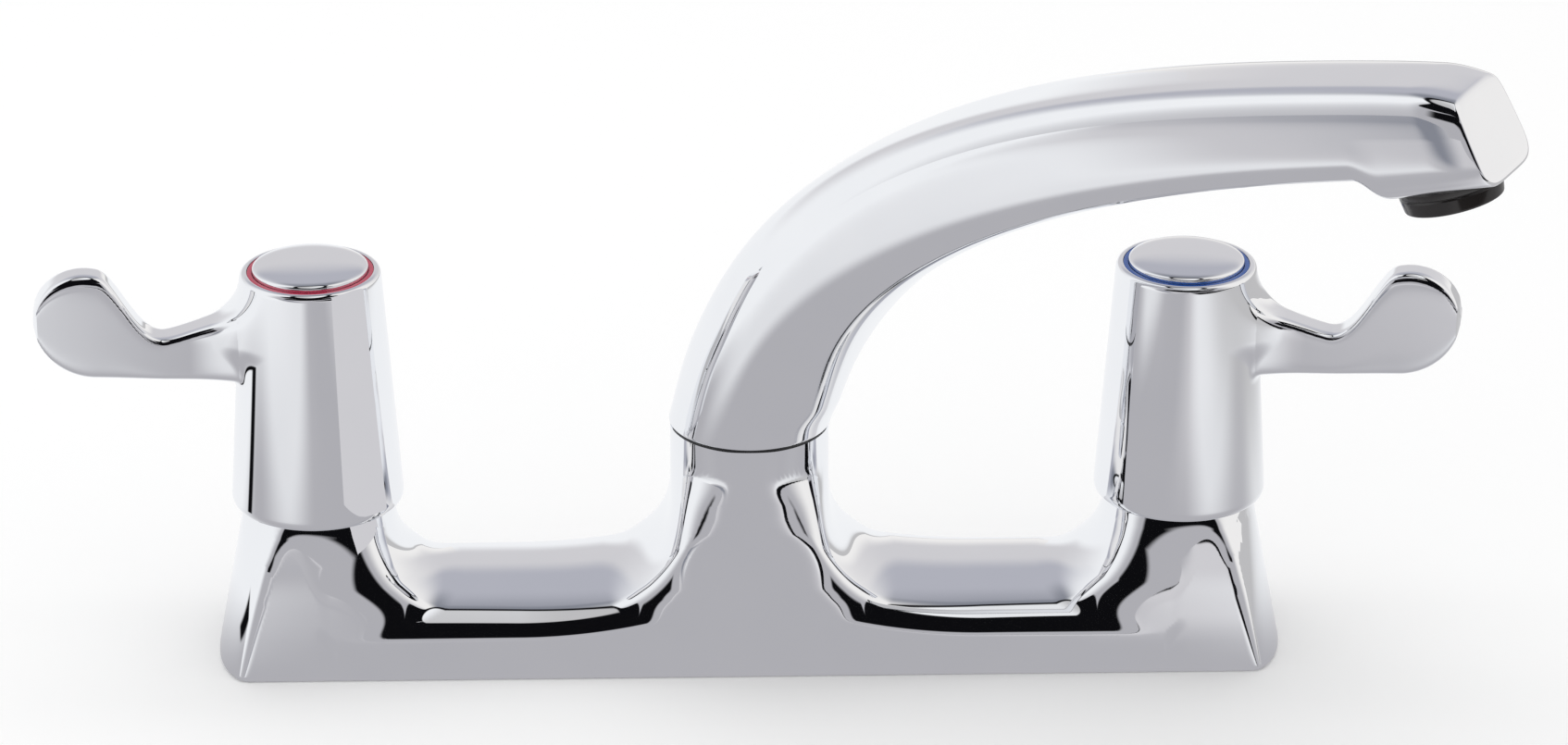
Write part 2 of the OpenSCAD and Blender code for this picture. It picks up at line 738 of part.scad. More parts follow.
module spout_nipple() {
    color(brass) difference() {
        union() {
            translate([0, 0, nipple_low]) cylinder(r = nipple_r, h = boss_h - nipple_low);
            translate([0, 0, boss_h - flange_t]) cylinder(r = flange_r, h = flange_t);
            translate([0, 0, boss_h]) cylinder(r = barrel_r, h = barrel_h);
        }
        translate([0, 0, nipple_low - over]) cylinder(r = barrel_bore_r, h = barrel_top);
        for (z = [barrel_top - seal_high_drop, barrel_top - seal_low_drop])
            translate([0, 0, z - seal_ring_r - seal_slack])
                ring(barrel_r + over, barrel_r - seal_depth, 2 * (seal_ring_r + seal_slack));
        translate([0, 0, boss_h + lock_z - lock_w / 2])
            ring(barrel_r + over, barrel_r - lock_depth, lock_w);
    }
}

module spout_seals() {
    color(rubber) for (z = [barrel_top - seal_high_drop, barrel_top - seal_low_drop])
        translate([0, 0, z]) rotate_extrude()
            translate([barrel_r - seal_depth + seal_ring_r, 0, 0]) circle(r = seal_ring_r, $fn = 24);
}

module spout_slide_ring() {
    color([0.2, 0.2, 0.21]) translate([0, 0, boss_h])
        ring(boss_r - slide_edge, flange_r + slide_in, slide_t);
}

// Plate that keeps hot and cold apart up to the spout
module flow_divider() {
    w1 = nipple_r - seal_slack;
    w2 = barrel_bore_r - seal_slack;
    color(brass) {
        translate([-divider_t / 2, -w1, boss_floor]) cube([divider_t, 2 * w1, nipple_low - boss_floor]);
        translate([-divider_t / 2, -w2, boss_floor]) cube([divider_t, 2 * w2, barrel_top - boss_floor]);
    }
}

// Spout: a curved tube from the round swivel to the squarish outlet

function along(p, t) = len(p) == 1 ? p[0]
    : along([for (i = [0 : len(p) - 2]) p[i] * (1 - t) + p[i + 1] * t], t);
function heading(p, t) = len(p) == 2 ? p[1] - p[0]
    : heading([for (i = [0 : len(p) - 2]) p[i] * (1 - t) + p[i + 1] * t], t);
spout_path = concat([for (s = spout_path_shares) [s[0] * spout_reach, spout_z + s[1] * spout_rise]],
    [[spout_reach - path_end_len * cos(end_rise), spout_end_z - path_end_len * sin(end_rise)],
        [spout_reach, spout_end_z]]);
// Distance still to go along the spout to its end
function to_end(t) = (spout_reach - along(spout_path, t)[0]) / cos(end_rise);
// Slope of the section plane: level at the swivel, square to the path, leaning at the end
function section_angle(t) = let(h = heading(spout_path, t))
    90 + (atan2(h[1], h[0]) - 90) * ease(0, upright_share, t) + end_lean * ease(lean_len, 0, to_end(t));
function thinned(from, to, t) = from + (to - from) * ease(0, thin_share, t);
function half_top(t) = let(c = max(1 - to_end(t) / crown_len, 0))
    thinned(spout_root_r, spout_half_h, t) - crown_fall * c * c;
function half_low(t) = thinned(spout_root_r, spout_half_h, t)
    + outlet_drop * ease(outlet_len, outlet_len - drop_len, to_end(t))
    - outlet_slope * max(outlet_len - drop_len - to_end(t), 0);
function half_wide(t) = let(c = max(1 - to_end(t) / pinch_len, 0))
    thinned(spout_root_r, spout_half_w, t) - pinch * c * c;
function spout_ring(t, n) = let(
        c = along(spout_path, t), g = section_angle(t),
        power = 2 + square_power * ease(square_shares[0], square_shares[1], t),
        taper = side_taper * ease(taper_shares[0], taper_shares[1], t))
    [for (j = [0 : n - 1]) let(a = 360 * j / n,
            s = bend(sin(a), power),
            h = (s > 0 ? half_top(t) : half_low(t)) * s,
            v = half_wide(t) * bend(cos(a), power) * (1 - taper * s))
        [c[0] - h * sin(g), v, c[1] + h * cos(g)]];
// The waterway opens out above the swivel, as far as the wall of the casting lets it
function way_ring(t, n) = let(
        c = along(spout_path, t), g = section_angle(t),
        wide = max(thinned(spout_root_r, spout_half_h, t) - spout_wall - spout_way_r, 0),
        r = spout_way_r + wide * ease(swell_shares[0], swell_shares[1], t))
    [for (j = [0 : n - 1]) let(a = 360 * j / n)
        [c[0] - r * sin(a) * sin(g), r * cos(a), c[1] + r * sin(a) * cos(g)]];

// Middle of the outlet on the underside, and the slope of the underside there
function under(t) = let(c = along(spout_path, t), g = section_angle(t))
    [c[0] + half_low(t) * sin(g), c[1] - half_low(t) * cos(g)];
outlet = under(outlet_share);
outlet_run = under(1) - outlet;
module at_outlet() {
    rotate([0, 0, -spout_swing]) translate([outlet[0], 0, outlet[1]])
        rotate([0, -atan2(outlet_run[1], outlet_run[0]), 0]) children();
}

way_start_share = 0.06;
way_end_share = 0.93;
module spout() {
    color(chrome) difference() {
        rotate([0, 0, -spout_swing]) difference() {
            ring_solid([for (i = [0 : spout_rings]) spout_ring(i / spout_rings, spout_sides)]);
            ring_solid([for (i = [0 : way_rings]) way_ring(way_start_share
                + (way_end_share - way_start_share) * i / way_rings, way_sides)]);
            translate([-barrel_r, 0, boss_h + lock_z]) rotate([0, -90, 0])
                cylinder(r = grub_r + fit, h = spout_root_r);
        }
        translate([0, 0, boss_h]) cylinder(r = barrel_r + fit, h = barrel_h + over);
        at_outlet() {
            cylinder(r = aerator_r - aerator_neck + fit, h = outlet_bore_d);
            cylinder(r = spout_way_r, h = half_low(outlet_share));
            translate([0, 0, -outlet_drop]) cylinder(r = aerator_r + fit, h = aerator_sink + outlet_drop);
        }
    }
}

module spout_grub_screw() {
    color(steel) rotate([0, 0, -spout_swing]) translate([0, 0, boss_h + lock_z]) rotate([0, -90, 0])
        difference() {
            union() {
                translate([0, 0, barrel_r - lock_depth + seal_slack]) cylinder(r = grub_tip_r, h = grub_tip);
                translate([0, 0, barrel_r + 2 * fit]) cylinder(r = grub_r, h = grub_len);
            }
            translate([0, 0, barrel_r + grub_len - grub_r]) cylinder(r = grub_tip_r, h = grub_len, $fn = 6);
        }
}

insert_r = aerator_r - aerator_neck - aerator_wall;
insert_top = outlet_bore_d - aerator_seal_t;
insert_low = insert_in - aerator_show;
module aerator_housing() {
    r = aerator_r;
    neck = r - aerator_neck;
    color([0.09, 0.08, 0.08]) at_outlet() rotate_extrude() polygon([
        [insert_r + fit, -aerator_show], [r - 2 * aerator_draft, -aerator_show],
        [r - aerator_draft, aerator_draft - aerator_show], [r, 0], [r, aerator_sink],
        [neck, aerator_sink], [neck, insert_top], [insert_r + fit, insert_top]]);
}

module aerator_insert() {
    color([0.75, 0.75, 0.73]) at_outlet() translate([0, 0, insert_low]) difference() {
        cylinder(r = insert_r, h = insert_top - insert_low);
        for (row = [0 : mesh_rows]) for (k = [0 : max(6 * row - 1, 0)])
            rotate([0, 0, 60 * k / max(row, 1)]) translate([mesh_pitch * row, 0, -over])
                cylinder(r = mesh_hole_r, h = insert_top - insert_low + 2 * over, $fn = 24);
    }
}

module aerator_seal() {
    color(rubber) at_outlet() translate([0, 0, insert_top])
        ring(aerator_r - aerator_neck, insert_r - insert_in, aerator_seal_t);
}

mixer_body();
base_gasket();
hot_inlet_tail();
cold_inlet_tail();
hot_backnut();
cold_backnut();
hot_backnut_washer();
cold_backnut_washer();
hot_valve_housing();
cold_valve_housing();
hot_fixed_disc();
cold_fixed_disc();
hot_seat_seal();
cold_seat_seal();
hot_housing_seal();
cold_housing_seal();
hot_spindle();
cold_spindle();
hot_moving_disc();
cold_moving_disc();
hot_spindle_seal();
cold_spindle_seal();
hot_circlip();
cold_circlip();
hot_lever();
cold_lever();
hot_indicator_ring();
cold_indicator_ring();
hot_cap();
cold_cap();
hot_lever_screw();
cold_lever_screw();
spout_nipple();
spout_seals();
spout_slide_ring();
flow_divider();
spout();
spout_grub_screw();
aerator_housing();
aerator_insert();
aerator_seal();
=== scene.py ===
"""Studio scene of a two handle deck mixer in polished chrome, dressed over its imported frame.

All shapes are worked out in millimetres in the frame's own axes and put into the meshes in
metres: +Z is up, the user stands at -Y, the hot tap is at -X.
"""
import json
import logging
import math
from dataclasses import dataclass
from enum import Enum
from functools import partialmethod
from typing import Callable, Sequence

import bmesh
import bpy
import numpy as np
from mathutils import Matrix, Vector


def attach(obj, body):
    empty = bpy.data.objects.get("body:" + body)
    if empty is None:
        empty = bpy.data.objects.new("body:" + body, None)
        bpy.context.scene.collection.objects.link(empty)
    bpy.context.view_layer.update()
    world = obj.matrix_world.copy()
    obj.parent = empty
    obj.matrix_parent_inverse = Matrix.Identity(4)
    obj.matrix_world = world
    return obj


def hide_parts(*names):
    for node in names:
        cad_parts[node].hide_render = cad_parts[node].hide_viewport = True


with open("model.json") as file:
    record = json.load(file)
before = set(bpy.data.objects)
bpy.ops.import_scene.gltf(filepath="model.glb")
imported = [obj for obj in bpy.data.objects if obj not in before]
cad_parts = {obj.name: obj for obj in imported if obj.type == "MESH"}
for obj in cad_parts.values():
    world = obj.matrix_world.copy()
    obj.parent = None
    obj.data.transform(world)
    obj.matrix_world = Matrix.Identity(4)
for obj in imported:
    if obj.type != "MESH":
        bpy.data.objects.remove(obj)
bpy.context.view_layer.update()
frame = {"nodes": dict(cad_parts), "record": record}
LOG = logging.getLogger("mixer")
MM = 0.001
LIES_ACROSS = 0.6
Array = np.ndarray
Faces = list[list[int]]
Field = Callable[[Array], Array]
Span = tuple[float, float]
Colour = tuple[float, float, float]
Band = tuple[float, float, float]
Material, Item, Mesh = bpy.types.Material, bpy.types.Object, bpy.types.Mesh
Tree, Node, Socket = bpy.types.NodeTree, bpy.types.Node, bpy.types.NodeSocket
Inputs = dict[str | int, object]


class Side(Enum):
    """The two taps: the sign of their place on X and the direction of their lever at rest."""

    HOT = ("hot", -1, 186.0)
    COLD = ("cold", 1, -12.0)

    def __init__(self, label: str, sign: int, lever_deg: float) -> None:
        """Keeps the label, the sign on X and the angle of the lever from +X, in degrees."""
        self.label, self.sign, self.lever_deg = label, sign, lever_deg

    def node(self, part: str) -> str:
        """A name with this side's label before it."""
        return f"{self.label}_{part}"


# Smooth helpers for the shapes


def soft_min(a: Array, b: Array, k: Array | float) -> Array:
    """The smaller of two distances, blended by a parabola where they are within k."""
    h = np.maximum(k - np.abs(a - b), 0) / k
    return np.minimum(a, b) - h * h * k / 4


def soft_max(a: Array, b: Array, k: Array | float) -> Array:
    """The larger of two distances, blended where they are within k."""
    return -soft_min(-a, -b, k)


def ease(a: float, b: float, x: Array) -> Array:
    """Share of the way from a to b: 3t^2 - 2t^3, level at both ends."""
    t = np.clip((x - a) / (b - a), 0, 1)
    return t * t * (3 - 2 * t)


def blend(a: Array | float, b: Array | float, share: Array) -> Array:
    """Straight from a at share 0 to b at share 1."""
    return a + (b - a) * share


def gauge(u: Array, v: Array, n: Array | float) -> Array:
    """Superellipse gauge (|u|^n + |v|^n)^(1/n): 1 on the outline, a circle at n = 2."""
    return (np.abs(u) ** n + np.abs(v) ** n + 1e-12) ** (1 / n)


def rounded(r: float, inward: Array) -> Array:
    """How far an edge rounded by r stands back, at a distance inward from the end face."""
    return r - np.sqrt(np.maximum(r ** 2 - np.clip(r - inward, 0, None) ** 2, 0))


def gradient(shape: Field, points: Array, step: float = 0.01) -> Array:
    """Gradient of a field by central differences.

    Args:
        shape: field that is negative inside.
        points: (n, 3) places in mm.
        step: half the distance of the two samples in mm.

    Returns:
        (n, 3) gradients.
    """
    moves = np.eye(3) * step
    return np.stack([(shape(points + m) - shape(points - m)) / (2 * step) for m in moves], 1)


def unit(vectors: Array) -> Array:
    """Vectors scaled to length one along their last axis."""
    return vectors / np.maximum(np.linalg.norm(vectors, axis=-1, keepdims=True), 1e-9)


def turned(points: Array, degrees: float) -> Array:
    """Points turned about the Z axis."""
    c, s = math.cos(math.radians(degrees)), math.sin(math.radians(degrees))
    return points @ np.array([[c, s, 0], [-s, c, 0], [0, 0, 1]])


def rotation(degrees: float, axis: str) -> Matrix:
    """Turn about the named axis."""
    return Matrix.Rotation(math.radians(degrees), 4, axis)


# Meshes


def place_item(name: str, data: bpy.types.ID) -> Item:
    """A new object with this data, linked into the scene."""
    item = bpy.data.objects.new(name, data)
    bpy.context.scene.collection.objects.link(item)
    return item


def grid_quads(rows: int, columns: int, closed: bool) -> Array:
    """Quads of a grid of points stored row by row, joined round each row if closed."""
    steps = columns if closed else columns - 1
    i, j = np.meshgrid(np.arange(rows - 1), np.arange(steps), indexing="ij")
    k = (j + 1) % columns
    a, b = i * columns, (i + 1) * columns
    return np.stack([a + j, a + k, b + k, b + j], -1).reshape(-1, 4)


@dataclass
class Piece:
    """A new surface of the object: its points, its faces and, where known, its normals."""

    name: str
    points: Array
    faces: Faces
    normals: Array | None = None

    def build(self, body: str, slot: str, material: Material, *replaced: str) -> Item:
        """Makes the object, smooth shaded, hangs it on its body and hides the CAD nodes that it stands
        for.

        Args:
            body: CAD body that it rides on.
            slot: not used.
            material: finish that it gets.
            replaced: CAD nodes that it stands for.

        Returns:
            The object, at the origin.
        """
        mesh = bpy.data.meshes.new(self.name)
        mesh.from_pydata((self.points * MM).tolist(), [], self.faces)
        mesh.update()
        mesh.validate(clean_customdata=False)
        self._face_outwards(mesh)
        mesh.shade_smooth()
        if self.normals is not None:
            self._set_normals(mesh)
        mesh.materials.append(material)
        item = place_item(self.name, mesh)
        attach(item, body)
        if replaced:
            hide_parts(*replaced)
        LOG.info("%s: %d points, %d faces", self.name, len(mesh.vertices), len(mesh.polygons))
        return item

    @staticmethod
    def _face_outwards(mesh: Mesh) -> None:
        """Turns the faces so that the closed shell holds a positive volume."""
        work = bmesh.new()
        work.from_mesh(mesh)
        if work.calc_volume(signed=True) < 0:
            bmesh.ops.reverse_faces(work, faces=work.faces[:])
        work.to_mesh(mesh)
        work.free()

    def _set_normals(self, mesh: Mesh) -> None:
        """Gives each corner its point's normal, unless its face lies across it, as a cap does."""
        vertex = [loop.vertex_index for loop in mesh.loops]
        face = np.array([poly.normal[:] for poly in mesh.polygons for _ in poly.loop_indices])
        own = self.normals[vertex]
        cross = (face * own).sum(1) < LIES_ACROSS
        mesh.normals_split_custom_set(np.where(cross[:, None], face, own).tolist())


def revolved(profile: Array, segments: int = 128) -> tuple[Array, Faces]:
    """Carries a profile round the Z axis.

    Args:
        profile: (n, 2) radii and heights that close on themselves or run from axis to axis.
        segments: steps round the axis.

    Returns:
        Points and faces.
    """
    angle = np.linspace(0, 2 * np.pi, segments, endpoint=False)
    poled = profile[0, 0] < 1e-6
    body = profile[1:-1] if poled else profile
    points = np.stack([np.outer(body[:, 0], np.cos(angle)), np.outer(body[:, 0], np.sin(angle)),
                       np.repeat(body[:, 1:], segments, 1)], -1).reshape(-1, 3)
    count, last = len(points), len(points) - segments
    faces = (grid_quads(len(body) + (not poled), segments, True) % count).tolist()
    if poled:
        points = np.vstack([points, [[0, 0, profile[0, 1]], [0, 0, profile[-1, 1]]]])
        sides = [(j, (j + 1) % segments) for j in range(segments)]
        faces += [[count, k, j] for j, k in sides]
        faces += [[count + 1, last + j, last + k] for j, k in sides]
    return points, faces


def corner_arc(x: float, z: float, r: float, start: float, steps: int = 8) -> Array:
    """A quarter circle of radius r about (x, z) from the start angle, in degrees."""
    a = np.radians(start + np.linspace(0, 90, steps + 1))
    return np.stack([x + r * np.cos(a), z + r * np.sin(a)], 1)


# The castings


@dataclass
class BridgeBody:
    """The bridge casting: base, two towers and the centre boss, all flowing together."""

    tap_x: float = 90.0
    base_over: float = 21.7
    half_depth: float = 21.8
    panel_under: float = 6.0
    panel_soft: float = 0.2
    saddle_h: float = 15.9
    crown_r: float = 60.0
    edge_blend: float = 4.4
    crisp_edge: float = 1.0
    end_lean: float = 0.08
    end_depth: float = 26.0
    tower_r: float = 15.2
    tower_h: float = 36.0
    neck_len: float = 3.0
    tower_edge: float = 0.6
    round_z: float = 30.0
    tower_fillet: float = 13.0
    boss_r: float = 16.5
    boss_h: float = 49.0
    boss_fillet: float = 17.0
    boss_square: float = 2.2
    square_z: Span = (43.0, 28.0)
    boss_spread: float = 2.0
    spread_z: Span = (30.0, 0.0)
    lean_x: Span = (25.0, 75.0)
    climb_x: float = 48.0
    climb_len: float = 32.0
    climb_h: float = 4.0
    tower_flare: float = 0.68
    blend_z: Span = (4.0, 19.0)
    soft_x: Span = (97.0, 87.0)
    crisp_x: Span = (45.0, 28.0)
    crisp_z: Span = (17.0, 31.0)
    foot_r: float = 1.2
    foot_in: float = 0.9
    spare: float = 14.0
    reach: float = 90.0
    columns: int = 220

    def panel_depth(self, a: Array, z: Array) -> Array:
        """Half depth at the front panel, which leans back, and a little more at the ends."""
        share = soft_min(z / (self.boss_h - self.panel_under), np.ones_like(z), self.panel_soft)
        lean = self.end_lean * z * ease(*self.lean_x, a)
        return blend(self.half_depth, self.boss_r, share) - lean

    def bridge(self, a: Array, y: Array, z: Array) -> Array:
        """A crowned top, which climbs towards the boss by a parabola."""
        climb = np.clip((self.climb_x - a) / self.climb_len, 0, 2)
        top = self.saddle_h + self.climb_h * climb * climb - y * y / (2 * self.crown_r)
        return np.maximum(z - top, a - self.tap_x)

    def tower(self, a: Array, y: Array, z: Array) -> Array:
        """A round neck that widens down to the end of the base, where the panel cuts it."""
        share = np.clip(z / (self.tower_h - self.neck_len), -1, 1)
        wide = blend(self.base_over, self.tower_r, share)
        deep = blend(self.tower_r, self.end_depth, (1 - share) ** self.tower_flare)
        n = 2 + np.clip(1 - z / self.round_z, 0, 1)
        side = (gauge((a - self.tap_x) / wide, y / deep, n) - 1) * wide
        return soft_max(side, z - self.tower_h, self.tower_edge)

    def boss(self, a: Array, y: Array, z: Array) -> Array:
        """Round at the joint, squarer and as deep as the panel where it flows into the front."""
        deep = self.panel_depth(np.zeros_like(z), z)
        wide = self.boss_r + self.boss_spread * ease(*self.spread_z, z)
        n = 2 + self.boss_square * ease(*self.square_z, z)
        return np.maximum((gauge(a / wide, y / deep, n) - 1) * deep, z - self.boss_h - self.spare)

    def field(self, p: Array) -> Array:
        """The casting as smooth minima of its forms, negative inside, zero on its surface.

        The panel cuts them all. Its edge is soft over the saddles and crisp beside the
        boss and at the ends.
        """
        a, y, z = np.abs(p[..., 0]), p[..., 1], p[..., 2]
        share = ease(*self.blend_z, z)
        low = soft_min(self.bridge(a, y, z), self.tower(a, y, z), self.tower_fillet * share + 0.01)
        whole = soft_min(low, self.boss(a, y, z), self.boss_fillet * share + 0.01)
        saddle = ease(*self.soft_x, a) * (1 - ease(*self.crisp_x, a) * ease(*self.crisp_z, z))
        edge = blend(self.crisp_edge, self.edge_blend, saddle)
        foot = self.foot_in * np.clip(1 - z / self.foot_r, 0, 1) ** 2
        return soft_max(whole, np.abs(y) - self.panel_depth(a, z), edge) + foot

    def stations(self) -> Array:
        """Section planes from end to end: foot on X, head on X and height of the head.

        Each knot also holds the count of planes up to the next one.
        """
        cap, t, r = self.boss_h + self.spare, self.tap_x, self.tower_r
        knots = np.array([
            [0, 0, cap, 16], [12, self.boss_r, cap, 22], [17.2, 17.4, 33, 26], [30, 30, 24, 22],
            [52, 52, self.saddle_h, 22], [69, 69, 23, 24], [77, t - r, self.tower_h, 24],
            [t, t, self.tower_h, 22], [100, t + r, self.tower_h, 30],
            [107, t + self.base_over, 0, 1]])
        rows = [a[:3] + (b - a)[:3] * i / a[3]
                for a, b in zip(knots[:-1], knots[1:]) for i in range(int(a[3]))]
        half = np.array(rows + [knots[-1][:3]])
        return np.vstack([half[:0:-1] * [-1, -1, 1], half])

    def skin(self) -> tuple[Array, Faces]:
        """Where rays of a fan of section planes meet the surface, halving the interval.

        A ray leaves the foot (x, 0, 0) of its plane at angle s: along +Y at s = 0, towards
        the head of the plane at 90 degrees, and along -Y at 180 degrees.

        Returns:
            Points and faces of the shell, closed by one face along the deck.
        """
        planes = self.stations()
        s = np.linspace(0, np.pi, self.columns + 1)
        way = np.stack([np.outer(planes[:, 1] - planes[:, 0], np.sin(s)),
                        np.outer(np.full(len(planes), self.half_depth), np.cos(s)),
                        np.outer(planes[:, 2], np.sin(s))], -1)
        way = unit(way)
        foot = np.zeros((len(planes), 1, 3))
        foot[:, 0, 0] = planes[:, 0]
        near, far = np.zeros(way.shape[:2]), np.full(way.shape[:2], self.reach)
        for _ in range(30):
            mid = (near + far) / 2
            inside = self.field(foot + way * mid[..., None]) < 0
            near, far = np.where(inside, mid, near), np.where(inside, far, mid)
        points = (foot + way * near[..., None]).reshape(-1, 3)
        index = np.arange(len(points)).reshape(len(planes), -1)
        rim = np.concatenate([index[:, 0], index[-1, 1:], index[-2::-1, -1], index[0, -2:0:-1]])
        return points, grid_quads(*index.shape, False).tolist() + [rim.tolist()]

    def build(self, material: Material) -> Item:
        """Cuts the shell level at the joint, closes it, and gives it the field's normals."""
        points, faces = self.skin()
        mesh = bpy.data.meshes.new("cut")
        mesh.from_pydata(points.tolist(), [], faces)
        work = bmesh.new()
        work.from_mesh(mesh)
        bmesh.ops.remove_doubles(work, verts=work.verts[:], dist=1e-4)
        bmesh.ops.bisect_plane(work, geom=work.verts[:] + work.edges[:] + work.faces[:],
                               plane_co=(0, 0, self.boss_h), plane_no=(0, 0, 1), clear_outer=True)
        open_edges = [e for e in work.edges if e.is_boundary]
        bmesh.ops.holes_fill(work, edges=open_edges, sides=0)
        work.verts.ensure_lookup_table()
        points = np.array([v.co for v in work.verts])
        faces = [[v.index for v in f.verts] for f in work.faces]
        work.free()
        bpy.data.meshes.remove(mesh)
        piece = Piece("bridge_casting", points, faces, unit(gradient(self.field, points)))
        return piece.build("root", "chrome", material, "mixer_body")


@dataclass
class SwivelSpout:
    """The spout casting: round on the joint, squarish and leaning at the outlet."""

    joint_z: float = 49.65
    swing_deg: float = 30.0
    reach: float = 158.38
    end_z: float = 145.67
    rise_deg: float = 10.8
    end_len: float = 54.8
    root_r: float = 16.8
    half_h: float = 8.9
    half_w: float = 12.3
    drop: float = 4.0
    housing_len: float = 24.7
    slope: float = 0.083
    lean_deg: float = 17.8
    thin_share: float = 1.058
    path_shares: Sequence[Span] = ((0.0, 0.0), (0.0505, 0.2686), (0.1224, 0.7558))
    edge_r: float = 0.7
    joint_edge_r: float = 0.4
    step_len: float = 6.0
    top_draw: float = 2.0
    top_draw_len: float = 10.0
    side_draw: float = 1.2
    side_draw_len: float = 9.0
    upright: Span = (0.0, 0.14)
    lean_len: float = 26.0
    square: Span = (0.15, 0.75)
    square_by: float = 3.0
    taper: float = 0.06
    taper_on: Span = (0.3, 0.9)
    sides: int = 168
    rings: int = 300
    outlet_share: float = 0.948

    def path(self, t: Array) -> tuple[Array, Array]:
        """Centre line as a Bezier curve of degree four.

        Args:
            t: (n,) places along it, 0 at the joint and 1 at the end.

        Returns:
            (n, 2) points and headings as (distance from the axis, height).
        """
        rise = math.radians(self.rise_deg)
        tip = np.array([self.reach, self.end_z])
        scale = np.array([self.reach, self.end_z - self.joint_z])
        points = [np.array(s) * scale + [0, self.joint_z] for s in self.path_shares]
        points += [tip - self.end_len * np.array([math.cos(rise), math.sin(rise)]), tip]
        legs: list[Array] = [np.repeat(q[None], len(t), 0) for q in points]
        w = t[:, None]
        while len(legs) > 2:
            legs = [a * (1 - w) + b * w for a, b in zip(legs[:-1], legs[1:])]
        return legs[0] * (1 - w) + legs[1] * w, legs[1] - legs[0]

    def sections(self, t: Array) -> tuple[Array, ...]:
        """Centre, slope, half sizes and squareness of the sections at the places t.

        Returns:
            Centres (n, 2), slope angles, half heights above and below, half widths, powers.
        """
        centre, way = self.path(t)
        to_end = (self.reach - centre[:, 0]) / math.cos(math.radians(self.rise_deg))
        angle = blend(np.pi / 2, np.arctan2(way[:, 1], way[:, 0]), ease(*self.upright, t))
        angle = angle + math.radians(self.lean_deg) * ease(self.lean_len, 0, to_end)
        thin = ease(0, self.thin_share, t)
        high = blend(self.root_r, self.half_h, thin)
        floor_len = self.housing_len - self.step_len
        low = high + self.drop * ease(self.housing_len, floor_len, to_end)
        low = low - self.slope * np.maximum(floor_len - to_end, 0)
        high = high - self.top_draw * np.clip(1 - to_end / self.top_draw_len, 0, 1) ** 2
        wide = blend(self.root_r, self.half_w, thin)
        wide = wide - self.side_draw * np.clip(1 - to_end / self.side_draw_len, 0, 1) ** 2
        above = centre[:, 1] - self.joint_z
        inset = rounded(self.edge_r, to_end) + rounded(self.joint_edge_r, above)
        power = 2 + self.square_by * ease(*self.square, t)
        return centre, angle, high - inset, low - inset, wide - inset, power

    def ring_points(self, t: Array) -> Array:
        """Outline of each section: a superellipse taken at even polar angles.

        Returns:
            (n, sides, 3) points before the spout is swung.
        """
        centre, angle, high, low, wide, power = self.sections(t)
        a = np.linspace(0, 2 * np.pi, self.sides, endpoint=False)[None]
        g = gauge(np.cos(a), np.sin(a), power[:, None])
        c, s = np.cos(a) / g, np.sin(a) / g
        h = np.where(s > 0, high[:, None], low[:, None]) * s
        v = wide[:, None] * c * (1 - self.taper * ease(*self.taper_on, t)[:, None] * s)
        return np.stack([centre[:, :1] - h * np.sin(angle)[:, None], v,
                         centre[:, 1:] + h * np.cos(angle)[:, None]], -1)

    def places(self) -> Array:
        """Places along the spout, closest together in the rounded edges at its two ends."""
        edge = 1 - np.cos(np.linspace(0, np.pi / 2, 7))
        even = np.linspace(0, 1, self.rings)
        first_leg = self.path_shares[1][1] * (self.end_z - self.joint_z)
        start = edge * self.joint_edge_r / (4 * first_leg)
        finish = 1 - edge[::-1] * self.edge_r / (4 * self.end_len)
        inner = even[(even > start[-1] + 0.001) & (even < finish[0] - 0.001)]
        return np.concatenate([start, inner, finish])

    def build(self, material: Material) -> Item:
        """Carries the sections along the path and closes both ends by shrinking their rims."""
        rings = self.ring_points(self.places())
        shrink = np.linspace(1, 0, 9)[1:-1, None, None]
        first, last = rings[0].mean(0), rings[-1].mean(0)
        rings = np.concatenate([blend(first, rings[0], shrink)[::-1], rings,
                                blend(last, rings[-1], shrink)])
        points = turned(rings.reshape(-1, 3), -self.swing_deg)
        index = np.arange(len(points)).reshape(rings.shape[:2])
        faces = grid_quads(*index.shape, True).tolist() + [index[0, ::-1].tolist(), index[-1].tolist()]
        return Piece("spout_casting", points, faces).build("spout", "chrome", material, "spout")

    def outlet(self) -> Matrix:
        """Place of the outlet on the underside, with its axis square to the underside, in mm."""
        centre, angle, _, low, _, _ = self.sections(np.array([self.outlet_share, 1.0]))
        low = low + np.array([0, self.edge_r])
        under = centre + low[:, None] * np.stack([np.sin(angle), -np.cos(angle)], 1)
        run = under[1] - under[0]
        tilt = math.degrees(math.atan2(run[1], run[0]))
        place = Matrix.Translation((under[0][0], 0, under[0][1]))
        return rotation(-self.swing_deg, "Z") @ place @ rotation(-tilt, "Y")


# The handles


